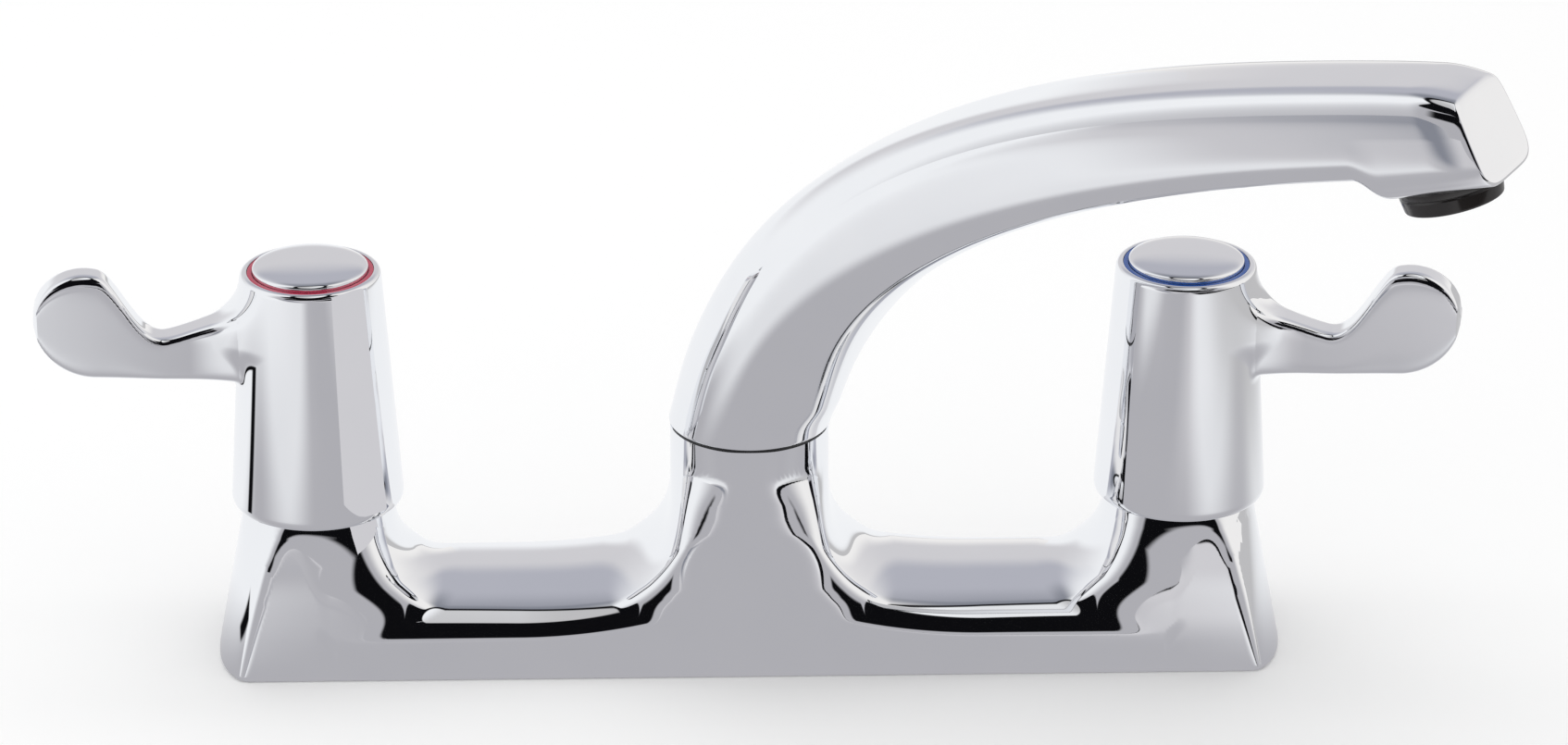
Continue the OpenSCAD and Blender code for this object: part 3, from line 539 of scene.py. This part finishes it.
def wrap_surface(values: Array) -> tuple[Array, Faces]:
    """Surface nets over a grid that closes on itself along its first axis.

    Each cell that the surface crosses gets one point, the mean of where the surface crosses
    the cell's twelve edges, and each grid edge that it crosses gets a quad of four cells.

    Args:
        values: (n, m, k) field at the grid's nodes, negative inside.

    Returns:
        Points in grid steps and quads.
    """
    n, m, k = values.shape
    inside = values < 0
    total = np.zeros((n, m - 1, k - 1, 3))
    hits = np.zeros((n, m - 1, k - 1))

    def corner(grid: Array, a: int, b: int, c: int) -> Array:
        """The grid's values at one corner of every cell."""
        return np.roll(grid, -a, 0)[:, b:m - 1 + b, c:k - 1 + c]

    for at in np.ndindex(2, 2, 2):
        for axis in range(3):
            if at[axis]:
                continue
            to = tuple(v + (i == axis) for i, v in enumerate(at))
            f0, f1 = corner(values, *at), corner(values, *to)
            crossed = (f0 < 0) != (f1 < 0)
            share = np.where(crossed, f0 / np.where(crossed, f0 - f1, 1), 0)
            place = np.zeros(total.shape) + at
            place[..., axis] += share
            total += place * crossed[..., None]
            hits += crossed
    live = hits > 0
    index = np.full(live.shape, -1)
    index[live] = np.arange(live.sum())
    cells = np.argwhere(live)
    points = cells + total[live] / hits[live][:, None]
    quads = []
    for axis in range(3):
        cross = inside != np.roll(inside, -1, axis)
        if axis:
            np.moveaxis(cross, axis, 0)[-1] = False
        at = np.argwhere(cross)
        u, v = [b for b in range(3) if b != axis]
        ends = [b for b in (u, v) if b]
        last = np.array(values.shape)[ends] - 1
        at = at[((at[:, ends] > 0) & (at[:, ends] < last)).all(1)]
        ring = []
        for du, dv in ((0, 0), (1, 0), (1, 1), (0, 1)):
            cell = at.copy()
            cell[:, u] -= du
            cell[:, v] -= dv
            cell[:, 0] %= n
            ring.append(index[tuple(cell.T)])
        quad = np.stack(ring, 1)
        flip = inside[tuple(at.T)] != (axis == 1)
        quad[flip] = quad[flip][:, ::-1]
        quads.append(quad)
    return points, np.concatenate(quads).tolist()


@dataclass
class LeverHandle:
    """A hollow cone with a flat lever blade, its index ring and its domed cap."""

    side: Side
    tap_x: float = 90.0
    skirt_z: float = 32.4
    skirt_r: float = 17.75
    top_z: float = 84.0
    top_r: float = 14.5
    wall: float = 1.75
    hub_z: float = 57.0
    bore_r: float = 4.2
    recess_r: float = 13.05
    recess_d: float = 4.0
    cone_cos: float = 0.998
    rim_r: float = 1.2
    skirt_edge_r: float = 2.2
    reach: float = 56.7
    blade_t: float = 7.6
    root_t: float = 4.0
    root_end: float = 0.45
    root_len: float = 10.0
    blade_z: float = 61.2
    blade_rise: float = 0.07
    rise_from: float = 0.28
    neck: float = 10.0
    neck_end: float = 0.55
    neck_bend: float = 0.34
    neck_soft: float = 3.0
    neck_len: float = 24.0
    paddle: float = 22.6
    paddle_on: Span = (0.52, 0.765)
    peak: float = 0.82
    crown_bend: float = 0.045
    crown_len: float = 16.0
    tip_r: float = 12.0
    power: float = 6.0
    top_fillet: float = 6.0
    low_fillet: float = 1.5
    fillet_z: Span = (2.0, 9.0)
    free_r: Span = (18.0, 25.0)
    free_rise: float = 6.0
    ring_r: float = 13.0
    cap_r: float = 11.9
    cap_rise: float = 2.0
    cap_wall: float = 0.4
    dome_power: float = 0.8
    ring_sink: float = 0.2
    ring_edge_r: float = 0.2
    gap: float = 0.05
    step: float = 0.5
    margin: float = 1.1
    fine_deg: float = 45.0
    fine_step: float = 0.6
    coarse_step_deg: float = 3.0
    blade_from: float = 20.0

    def blade_edges(self, u: Array) -> tuple[Array, Array]:
        """Lower and upper edge of the blade at the distance u from the tap axis.

        The lower edge rises gently. The upper edge falls from the cone to the neck along a
        hyperbola and eases over to the paddle's crown, a parabola. Both end in a quarter
        ellipse.
        """
        end, root = self.reach, self.reach * self.rise_from
        base = self.blade_z + self.blade_rise * (u - root)
        d = np.clip((u - end + self.tip_r) / self.tip_r, 0, 1)
        low = base + self.tip_r * (1 - np.sqrt(1 - d * d))
        climb = np.clip(end * self.neck_end - u, 0, self.neck_len)
        neck = self.blade_z + self.neck + self.neck_bend * climb ** 2 / (climb + self.neck_soft)
        peak_u = end * self.peak
        peak = self.blade_z + self.blade_rise * (peak_u - root) + self.paddle
        crown = peak - self.crown_bend * np.clip(peak_u - u, 0, self.crown_len) ** 2
        w = ease(end * self.paddle_on[0], end * self.paddle_on[1], u)
        e = np.clip((u - peak_u) / (end - peak_u), 0, 1)
        tip_low = self.blade_z + self.blade_rise * (end - root) + self.tip_r
        return low, neck * (1 - w) + crown * w - (peak - tip_low) * (1 - np.sqrt(1 - e * e))

    def blade(self, x: Array, y: Array, z: Array) -> Array:
        """The blade: a superellipse section between its edges, flared at its root."""
        u = np.clip(x, 2, self.reach)
        low, high = self.blade_edges(u)
        half = np.maximum((high - low) / 2, 0.05)
        flare = np.clip((self.reach * self.root_end - u) / self.root_len, 0, 1) ** 2
        thick = np.minimum((self.blade_t + self.root_t * flare) / 2, half + 0.01)
        across = gauge(y / thick, (z - (low + high) / 2) / half, self.power)
        side = (across - 1) * np.minimum(thick, half)
        return np.maximum(side, np.maximum(x - self.reach, -x))

    def field(self, p: Array) -> Array:
        """Cone and blade as one smooth form, less the hollow, the recess and the screw hole.

        The rim's level cuts the cone alone: beyond free_r the paddle may stand above it.
        """
        x, y, z = p[..., 0], p[..., 1], p[..., 2]
        r = np.hypot(x, y)
        z0, z1 = self.skirt_z + 3, self.top_z - self.rim_r
        cone = r - self.skirt_r - (self.top_r - self.skirt_r) * (z - z0) / (z1 - z0)
        flow = blend(self.low_fillet, self.top_fillet, ease(*self.fillet_z, z - self.blade_z))
        form = soft_min(cone * self.cone_cos, self.blade(x, y, z), flow)
        level = self.top_z + self.free_rise * ease(*self.free_r, r)
        form = soft_max(form, z - level, self.rim_r)
        form = soft_max(form, self.skirt_z - z, self.skirt_edge_r)
        share = (z - self.skirt_z) / (self.hub_z - self.skirt_z)
        hollow_r = self.skirt_r - self.wall + (self.top_r + 1 - self.skirt_r) * share
        hollow = np.maximum(r - hollow_r, z - self.hub_z)
        recess = np.maximum(r - self.recess_r, self.top_z - self.recess_d - z)
        bore = r - self.bore_r
        return np.maximum(form, -np.minimum(np.minimum(hollow, recess), bore))

    def shell(self) -> tuple[Array, Faces, Array]:
        """The handle as a surface net in polar coordinates, pressed onto the field.

        The grid's lines run round, across and up the tap axis, so every round edge stays a
        true circle. Five Newton steps move each point to where the field is zero.

        Returns:
            Points about the tap axis with the blade along +X, quads and normals.
        """
        fine, start, step = self.fine_deg, self.blade_from, self.fine_step
        angle = np.radians(np.concatenate([np.arange(-fine, fine, step),
                                           np.arange(fine, 360 - fine, self.coarse_step_deg)]))
        across = np.concatenate([np.arange(self.bore_r - self.margin, start, self.step),
                                 np.arange(start, self.reach + 1.5, step)])
        up = np.arange(self.skirt_z - self.margin, self.top_z + 3.2, self.step)
        a, r, z = np.meshgrid(angle, across, up, indexing="ij")
        values = self.field(np.stack([r * np.cos(a), r * np.sin(a), z], -1))
        at, quads = wrap_surface(values)
        closed = np.append(angle, angle[0] + 2 * np.pi)
        turn = np.interp(at[:, 0], np.arange(len(closed)), closed)
        dist = np.interp(at[:, 1], np.arange(len(across)), across)
        points = np.stack([dist * np.cos(turn), dist * np.sin(turn),
                           np.interp(at[:, 2], np.arange(len(up)), up)], 1)
        for _ in range(5):
            slope = gradient(self.field, points)
            size = np.maximum((slope ** 2).sum(1), 0.2)
            move = slope * (self.field(points) / size)[:, None]
            length = np.maximum(np.linalg.norm(move, axis=1, keepdims=True), 1e-6)
            points = points - move * np.minimum(1, 0.4 / length)
        return points, quads, unit(gradient(self.field, points))

    def cap_profile(self) -> Array:
        """Half outline of the cap: an upright wall and a dome that starts upright."""
        low, wall = self.top_z - self.recess_d + self.gap, self.top_z + self.cap_wall
        a = np.linspace(0, np.pi / 2, 40)
        rise = (self.cap_rise - self.cap_wall) * np.sin(a) ** self.dome_power
        dome = np.stack([self.cap_r * np.cos(a), wall + rise], 1)
        return np.vstack([[[0, low], [self.cap_r, low]], dome])

    def ring_profile(self) -> Array:
        """Closed outline of the index ring, with its upper corners eased."""
        low, high = self.top_z - self.recess_d + self.gap, self.top_z - self.ring_sink
        inner, r = self.cap_r + self.gap, self.ring_edge_r
        return np.vstack([[[inner, low], [self.ring_r, low]],
                          corner_arc(self.ring_r - r, high - r, r, 0, 4),
                          corner_arc(inner + r, high - r, r, 90, 4)])

    def build(self, shell: tuple[Array, Faces, Array], chrome: Material, tint: Material) -> None:
        """Places the handle, its ring and its cap on the tap axis.

        Args:
            shell: points, quads and normals from shell().
            chrome: finish of the handle and the cap.
            tint: finish of the index ring.
        """
        place = np.array([self.side.sign * self.tap_x, 0, 0])
        side, turn = self.side, self.side.lever_deg
        points, quads, normals = shell
        lever = turned(points, turn), quads, turned(normals, turn)
        for label, slot, finish, part, surface in (
                ("handle", "chrome", chrome, "lever", lever),
                ("dome", "chrome", chrome, "cap", revolved(self.cap_profile())),
                ("index", side.node("ring"), tint, "indicator_ring", revolved(self.ring_profile()))):
            piece = Piece(side.node(label), surface[0] + place, *surface[1:])
            piece.build(side.node("handle"), slot, finish, side.node(part))


@dataclass
class AeratorRing:
    """The black housing of the aerator that shows under the end of the spout."""

    outer_r: float = 10.2
    inner_r: float = 7.65
    show: float = 4.0
    sink: float = 1.8
    edge_r: float = 0.5
    mouth_in: float = 0.5
    groove: Sequence[Span] = ((-0.15, -1.3), (-0.15, -1.1), (-0.35, -1.0), (-0.35, -0.7), (0, -0.6))

    def profile(self) -> Array:
        """Closed outline with a rounded mouth and a shallow groove under its top edge."""
        r, low = self.edge_r, -self.show
        return np.vstack([
            corner_arc(self.outer_r - self.mouth_in - r, low + r, r, -90, 6),
            np.array(self.groove) + [self.outer_r, 0],
            [[self.outer_r, self.sink], [self.inner_r, self.sink]],
            corner_arc(self.inner_r + r, low + r, r, 180, 6)])

    def build(self, place: Matrix, material: Material) -> Item:
        """Turns the profile about the outlet's axis and moves it under the spout."""
        points, faces = revolved(self.profile(), 96)
        turn = np.array(place)
        points = points @ turn[:3, :3].T + turn[:3, 3]
        piece = Piece("aerator_ring", points, faces)
        return piece.build("spout", "black", material, "aerator_housing")


# Node values and finishes


def fill(tree: Tree, target: Node, inputs: Inputs) -> None:
    """Sets each input to the value given for it, or links it to the wire or socket given."""
    for name, value in inputs.items():
        value = value.socket if isinstance(value, Wire) else value
        if isinstance(value, Socket):
            tree.links.new(value, target.inputs[name])
        else:
            target.inputs[name].default_value = value


def node(tree: Tree, kind: str, inputs: Inputs | None = None, **settings: object) -> Node:
    """Adds a node.

    Args:
        tree: node tree that it goes into.
        kind: its type without ShaderNode.
        inputs: values or sources of its inputs, by name or place.
        settings: its other properties.

    Returns:
        The node.
    """
    made = tree.nodes.new(f"ShaderNode{kind}")
    for name, value in settings.items():
        setattr(made, name, value)
    fill(tree, made, inputs or {})
    return made


class Wire:
    """A value in a node tree that sums, products and steps can be taken of."""

    def __init__(self, tree: Tree, socket: Socket) -> None:
        """Keeps the tree and the socket that puts the value out."""
        self.tree, self.socket = tree, socket

    def apply(self, operation: str, *others: "Wire | float") -> "Wire":
        """One math node of this value and others."""
        made = node(self.tree, "Math", dict(enumerate((self, *others))), operation=operation)
        return Wire(self.tree, made.outputs[0])

    __add__ = partialmethod(apply, "ADD")
    __sub__ = partialmethod(apply, "SUBTRACT")
    __mul__ = partialmethod(apply, "MULTIPLY")
    __truediv__ = partialmethod(apply, "DIVIDE")
    __abs__ = partialmethod(apply, "ABSOLUTE")

    def angle(self, other: "Wire") -> "Wire":
        """Angle whose tangent is this over the other, in degrees."""
        return self.apply("ARCTAN2", other) * (180 / math.pi)

    def length(self, other: "Wire") -> "Wire":
        """Square root of the sum of both squares."""
        return (self * self + other * other).apply("SQRT")

    def over(self, low: float, high: float) -> "Wire":
        """Eased step from 0 at low to 1 at high; low may be the larger one."""
        start, end = sorted((low, high))
        made = node(self.tree, "MapRange", {
            "Value": self, "From Min": start, "From Max": end, "To Min": float(low > high),
            "To Max": float(low <= high)}, interpolation_type="SMOOTHSTEP")
        return Wire(self.tree, made.outputs["Result"])

    def near(self, place: float, half: float, edge: float) -> "Wire":
        """1 within half of the place, falling to 0 over the edge."""
        return abs(self - place).over(half + edge, half)

    def mix(self, low: "Tone", high: "Tone") -> "Wire":
        """Colour between two colours, by this value."""
        a, b = (tone if isinstance(tone, Wire) else (*tone, 1) for tone in (low, high))
        made = node(self.tree, "Mix", {"Factor": self, "A": a, "B": b}, data_type="RGBA")
        return Wire(self.tree, made.outputs["Result"])


Tone = Wire | Colour


class WearGroups:
    """Node groups that several finishes share, each made once."""

    def __init__(self) -> None:
        """Builds the groups."""
        self.polish = self._polish()
        self.grain = self._grain()

    @staticmethod
    def _start(name: str, extra: str) -> Tree:
        """A group with the inputs Scale, Low and High and three outputs, the last one named."""
        tree = bpy.data.node_groups.new(name, "ShaderNodeTree")
        ways = {"INPUT": ("Scale", "Low", "High"), "OUTPUT": ("Roughness", "Height", extra)}
        for way, labels in ways.items():
            for label in labels:
                tree.interface.new_socket(label, in_out=way, socket_type="NodeSocketFloat")
        tree.nodes.new("NodeGroupInput").name = "in"
        tree.nodes.new("NodeGroupOutput").name = "out"
        return tree

    @staticmethod
    def _noise(tree: Tree, times: float, detail: float, stretch: Band = (1, 1, 1)) -> Wire:
        """A noise field over the stretched piece, at times the group's scale."""
        own = node(tree, "TexCoord").outputs["Object"]
        place = node(tree, "Mapping", {"Vector": own, "Scale": stretch}).outputs["Vector"]
        scale = Wire(tree, tree.nodes["in"].outputs["Scale"]) * times
        noise = node(tree, "TexNoise", {"Vector": place, "Scale": scale, "Detail": detail})
        return Wire(tree, noise.outputs["Fac"])

    @staticmethod
    def _finish(tree: Tree, marks: Wire, span: Span, **others: Wire) -> Tree:
        """Spreads the marks from Low to High as roughness and puts the other values out."""
        source = tree.nodes["in"].outputs
        spread = node(tree, "MapRange", {
            "Value": marks, "From Min": span[0], "From Max": span[1], "To Min": source["Low"],
            "To Max": source["High"]})
        fill(tree, tree.nodes["out"], {"Roughness": spread.outputs["Result"], **others})
        return tree

    def _polish(self) -> Tree:
        """Buffed metal: a cloudy film, fine hairlines and a slow waviness of the surface."""
        tree = self._start("polish marks", "Film")
        cloud, lines = self._noise(tree, 1.0, 3), self._noise(tree, 9.0, 2, (1, 1, 14))
        waves = self._noise(tree, 0.35, 1)
        return self._finish(tree, cloud * lines, (0.12, 0.42), Height=waves, Film=cloud)

    def _grain(self) -> Tree:
        """Moulded or turned stock: a speckled grain and slow patches."""
        tree = self._start("moulded grain", "Patch")
        speck, patch = self._noise(tree, 1.0, 5), self._noise(tree, 0.15, 3)
        return self._finish(tree, (speck + patch) * 0.5, (0.3, 0.7), Height=speck, Patch=patch)


@dataclass(frozen=True)
class Finish:
    """One finish: its two colours, how rough it is between its marks, and its relief."""

    name: str
    colour: Colour
    shade: Colour
    metallic: float
    rough: Span
    scale: float
    bump: float
    polished: bool = False
    relief: float = 0.0001

    def make(self, groups: WearGroups) -> Material:
        """Builds the node material.

        Args:
            groups: the shared node groups.

        Returns:
            The material.
        """
        material = bpy.data.materials.new(self.name)
        material.use_nodes = True
        tree = material.node_tree
        marks = node(tree, "Group", {
            "Scale": self.scale, "Low": self.rough[0], "High": self.rough[1],
        }, node_tree=groups.polish if self.polished else groups.grain).outputs
        share = Wire(tree, marks["Film" if self.polished else "Patch"])
        bump = node(tree, "Bump", {
            "Strength": self.bump, "Distance": self.relief, "Height": marks["Height"]})
        fill(tree, tree.nodes["Principled BSDF"], {
            "Metallic": self.metallic, "Base Color": share.mix(self.colour, self.shade),
            "Roughness": marks["Roughness"], "Normal": bump.outputs["Normal"]})
        return material


FINISHES = {slot: Finish(*row) for slot, row in {
    "chrome": ("polished_chrome", (0.93, 0.935, 0.95), (0.89, 0.9, 0.92), 1, (0.015, 0.04),
               60, 0.05, True),
    "brass": ("turned_brass", (0.78, 0.6, 0.3), (0.66, 0.48, 0.22), 1, (0.18, 0.34), 90, 0.3, True),
    "steel": ("zinc_steel", (0.62, 0.63, 0.65), (0.5, 0.5, 0.53), 1, (0.22, 0.4), 120, 0.3, True),
    "rubber": ("black_rubber", (0.03, 0.03, 0.033), (0.05, 0.05, 0.052), 0, (0.6, 0.85), 900, 0.3),
    "ceramic": ("lapped_ceramic", (0.86, 0.85, 0.81), (0.8, 0.79, 0.75), 0, (0.12, 0.25), 300, 0.05),
    "washer": ("nylon_washer", (0.84, 0.84, 0.8), (0.76, 0.76, 0.71), 0, (0.45, 0.65), 500, 0.2),
    "slide_ring": ("acetal_black", (0.02, 0.02, 0.022), (0.035, 0.035, 0.037), 0, (0.3, 0.5), 500, 0.1),
    "black": ("gloss_black_plastic", (0.012, 0.011, 0.011), (0.022, 0.019, 0.018), 0, (0.08, 0.18),
              350, 0.04),
    "mesh": ("grey_acetal", (0.3, 0.3, 0.29), (0.22, 0.22, 0.21), 0, (0.35, 0.55), 500, 0.15),
    "hot_ring": ("red_index", (0.5, 0.05, 0.1), (0.42, 0.03, 0.07), 0, (0.12, 0.25), 400, 0.04),
    "cold_ring": ("blue_index", (0.02, 0.1, 0.38), (0.015, 0.07, 0.3), 0, (0.12, 0.25), 400, 0.04),
}.items()}


# Studio


def layered(tone: Tone, *layers: tuple[Wire, Tone]) -> Wire:
    """Lays each colour over the ones before it where its mask is 1."""
    for mask, colour in layers:
        tone = mask.mix(tone, colour)
    return tone


def sheet(name: str, paper: str, corners: Sequence[Sequence[float]]) -> tuple[Item, Tree]:
    """A flat sheet of four corners, in metres, and the node tree of its new paper."""
    mesh = bpy.data.meshes.new(name)
    mesh.from_pydata(corners, [], [(0, 1, 2, 3)])
    material = bpy.data.materials.new(paper)
    material.use_nodes = True
    mesh.materials.append(material)
    return place_item(name, mesh), material.node_tree


def mix_shaders(tree: Tree, factor: Socket, first: Node, second: Node) -> None:
    """Puts out the first shader where the factor is 0 and the second where it is 1."""
    blend = node(tree, "MixShader", {"Fac": factor, 1: first.outputs[0], 2: second.outputs[0]})
    fill(tree, tree.nodes["Material Output"], {"Surface": blend.outputs[0]})


@dataclass
class Studio:
    """White studio: floor, soft lamp, the cards that the metal reflects, and the camera."""

    lens: float = 121.3
    eye: Band = (-22.5, -1000.0, 504.6)
    pitch_deg: float = 23.97
    yaw_deg: float = -1.70
    roll_deg: float = 0.13
    lamp_at: Band = (-0.2, 0.1, 1.6)
    lamp_size: Span = (1.6, 1.2)
    lamp_power: float = 6.0
    plain_light: float = 0.85
    white: Colour = (0.93, 0.94, 0.955)
    warm: Colour = (0.92, 0.905, 0.89)
    grey: Colour = (0.46, 0.455, 0.48)
    pale: Colour = (0.66, 0.65, 0.67)
    cool: Colour = (0.47, 0.475, 0.53)
    deep: Colour = (0.25, 0.26, 0.3)
    light: Colour = (0.55, 0.545, 0.55)
    dark: Colour = (0.004, 0.004, 0.005)

    # Floor, in metres, and in degrees round the spout's end and round the streak's
    light_x: Span = (0.1, 0.3)
    paper_y: Span = (0.04, -0.02)
    paper_left: Span = (-0.42, -0.2)
    paper_right: Span = (0.4, 0.15)
    widen: Span = (0.3, 1.5)
    pale_y: Span = (-0.1, -0.22)
    pale_right: Span = (0.02, 0.14)
    pale_left: Span = (-0.03, -0.3)
    pale_left_share: float = 0.8
    ends_x: Span = (0.09, 0.17)
    ends_y: Span = (-0.03, -0.12)
    ends_stop_y: Span = (-0.42, -0.3)
    ends_share: float = 0.7
    tip: Span = (0.127, 0.087)
    patch: Band = (-44, 4, 12)
    patch_y: Span = (-0.35, -0.7)
    edge_x: Span = (0.17, 0.22)
    edge_y: Span = (-0.33, -0.42)
    streak_x: float = 0.09
    streak: Band = (-93, 2.5, 3)
    streak_start: Span = (-0.4, -0.3)
    streak_stop: Span = (-0.08, -0.1)

    # World, in degrees from the front and above the horizon
    warm_side: Span = (-20, 40)
    grey_front: Span = (75, 45)
    back_from: Span = (105, 165)
    back_low: Span = (1, 12)
    cool_low: Span = (22, 34)
    deep_low: Span = (45, 62)
    flag_side: Span = (44, 36)
    flag: Band = (17, 9, 2.5)

    # Opening and lamp, on a ceiling at height 1: centre and half size
    opening: Span = (0.85, 1.25)
    narrow: Span = (0.15, 0.8)
    narrow_half: float = 0.4
    opening_rim: Span = (1.06, 0.98)
    lamp_v: float = 0.2
    lamp_half: Span = (0.24, 0.47)
    lamp_rim: Span = (1.1, 0.95)
    lamp_side: Span = (-0.15, 0.2)

    def build(self) -> None:
        """Builds the whole studio."""
        self.camera()
        self.floor()
        self.world()
        self.side_card()
        self.lamps()

    def camera(self) -> None:
        """Puts the camera at the photograph's place and angle."""
        data = bpy.data.cameras.new("camera")
        data.lens, data.sensor_width = self.lens, 36
        data.clip_start, data.clip_end = 0.05, 20
        item = place_item("camera", data)
        turn = rotation(self.yaw_deg, "Z") @ rotation(90 - self.pitch_deg, "X")
        place = Matrix.Translation(Vector(self.eye) * MM)
        item.matrix_world = place @ turn @ rotation(self.roll_deg, "Z")
        bpy.context.scene.camera = item

    def floor(self) -> None:
        """A pale floor that keeps the shadow; in the metal it shows its cards."""
        x, y = 4.0, 6.0
        item, tree = sheet("floor", "white_floor", [(-x, -x, 0), (x, -x, 0), (x, y, 0), (-x, y, 0)])
        shader = tree.nodes["Principled BSDF"]
        fill(tree, shader, {"Base Color": (0.985, 0.985, 0.985, 1), "Roughness": 0.9})
        cards = node(tree, "Emission", {"Color": self._floor_cards(tree)})
        mix_shaders(tree, node(tree, "LightPath").outputs["Is Glossy Ray"], shader, cards)

    def _floor_cards(self, tree: Tree) -> Wire:
        """Colour of the floor in reflections, by its own X and Y.

        White, greyer on the right, with a grey paper in front that is wider and paler
        farther out and white near its ends. Three spots are dark: a patch that only the
        spout's end shows, the far right edge, and a thin streak on the left.
        """
        split = node(tree, "SeparateXYZ", {0: node(tree, "TexCoord").outputs["Object"]})
        x, y = Wire(tree, split.outputs["X"]), Wire(tree, split.outputs["Y"])
        wider = (y * -1 - self.widen[0]).apply("MAXIMUM", 0) * self.widen[1]
        front = (y.over(*self.paper_y) * (x + wider).over(*self.paper_left)
                 * (x - wider).over(*self.paper_right))
        sides = x.over(*self.pale_right) + x.over(*self.pale_left) * self.pale_left_share
        ends = abs(x).over(*self.ends_x) * y.over(*self.ends_y) * y.over(*self.ends_stop_y)
        from_tip = (x - self.tip[0]).angle(y * -1 - self.tip[1])
        left = x + self.streak_x
        streak = left.angle(y * -1).near(*self.streak)
        return layered(
            self.white, (x.over(*self.light_x), self.light),
            (front, layered(self.grey, (y.over(*self.pale_y) * sides, self.pale),
                            (ends * self.ends_share, self.white))),
            (from_tip.near(*self.patch) * y.over(*self.patch_y), self.deep),
            (y.over(*self.edge_y) * x.over(*self.edge_x), self.dark),
            (streak * left.over(*self.streak_start) * left.over(*self.streak_stop), self.dark))

    def world(self) -> None:
        """White to the camera, plain light for the rest, and cards round it for the metal."""
        world = bpy.data.worlds.new("studio")
        bpy.context.scene.world = world
        world.use_nodes = True
        tree = world.node_tree
        split = node(tree, "SeparateXYZ", {0: node(tree, "TexCoord").outputs["Generated"]})
        x, y, z = (Wire(tree, split.outputs[axis]) for axis in "XYZ")
        rays = node(tree, "LightPath").outputs
        camera, glossy = (Wire(tree, rays[f"Is {kind} Ray"]) for kind in ("Camera", "Glossy"))
        power = (camera + glossy).over(0, 1) * (1 - self.plain_light) + self.plain_light
        fill(tree, tree.nodes["Background"], {
            "Color": glossy.mix((1.0, 1.0, 1.0), self._cards(x, y * -1, z)), "Strength": power})

    def _cards(self, x: Wire, front: Wire, z: Wire) -> Wire:
        """Colour of the studio in each direction.

        White on the left, warmer on the right, grey in front with a dark flag low down, and
        behind a pale, a cool and a deep strip, one above the other. Over the front is a
        large dark opening, narrower overhead, with a lamp in it.
        """
        azimuth, rise = x.angle(front), z.angle(x.length(front))
        turn, height = abs(azimuth), z.apply("MAXIMUM", 0.02)
        u, v = x / height, front / height
        half = v.over(*self.narrow) * (1 - self.narrow_half) + self.narrow_half
        opening = (u / half).length((v - self.opening[0]) / self.opening[1])
        lamp = (u / self.lamp_half[0]).length((v - self.lamp_v) / self.lamp_half[1])
        return layered(
            self.white, (azimuth.over(*self.warm_side), self.warm),
            (turn.over(*self.grey_front), self.grey),
            (turn.over(*self.back_from) * rise.over(*self.back_low), layered(
                self.pale, (rise.over(*self.cool_low), self.cool),
                (rise.over(*self.deep_low), self.deep))),
            (turn.over(*self.flag_side) * rise.near(*self.flag), self.dark),
            (opening.over(*self.opening_rim) * z.over(0.02, 0.1), self.dark),
            (lamp.over(*self.lamp_rim) * z.over(0.3, 0.5),
             u.over(*self.lamp_side).mix(self.light, self.white)))

    def side_card(self) -> None:
        """A pale card that only the right side of the hot handle shows, clear from behind."""
        x, near, far, low, high = -0.068, -0.008, -0.037, 0.03, 0.1
        item, tree = sheet("side_card", "white_card",
                           [(x, near, low), (x, far, low), (x, far, high), (x, near, high)])
        tree.nodes.remove(tree.nodes["Principled BSDF"])
        glow = node(tree, "Emission", {"Color": (*self.pale, 1)})
        from_behind = node(tree, "NewGeometry").outputs["Backfacing"]
        mix_shaders(tree, from_behind, glow, node(tree, "BsdfTransparent"))
        for ray in ("camera", "diffuse", "transmission", "shadow"):
            setattr(item, f"visible_{ray}", False)

    def lamps(self) -> None:
        """One broad lamp overhead for the soft shadow."""
        data = bpy.data.lights.new("overhead", "AREA")
        data.shape, data.energy = "RECTANGLE", self.lamp_power
        data.size, data.size_y = self.lamp_size
        item = place_item("overhead", data)
        item.location = self.lamp_at
        item.visible_glossy = False


def dress_frame(finishes: dict[str, Material]) -> None:
    """Gives every CAD node that stays the finish of its slot in the record.

    Args:
        finishes: materials by slot.
    """
    slots = {part["node"]: part["material_slot"] for part in frame["record"]["subparts"]}
    for name, item in frame["nodes"].items():
        item.data.materials.clear()
        item.data.materials.append(finishes[slots[name]])
    LOG.info("dressed %d frame nodes", len(frame["nodes"]))


def main() -> None:
    """Builds the faucet over the frame and the studio round it."""
    logging.basicConfig(level=logging.INFO, format="%(name)s: %(message)s")
    groups = WearGroups()
    finishes = {slot: finish.make(groups) for slot, finish in FINISHES.items()}
    dress_frame(finishes)
    Studio().build()
    BridgeBody().build(finishes["chrome"])
    spout = SwivelSpout()
    spout.build(finishes["chrome"])
    AeratorRing().build(spout.outlet(), finishes["black"])
    shell = LeverHandle(Side.HOT).shell()
    for side in Side:
        LeverHandle(side).build(shell, finishes["chrome"], finishes[f"{side.label}_ring"])
    bpy.context.scene.view_settings.view_transform = "Standard"


if __name__ == "__main__":
    main()
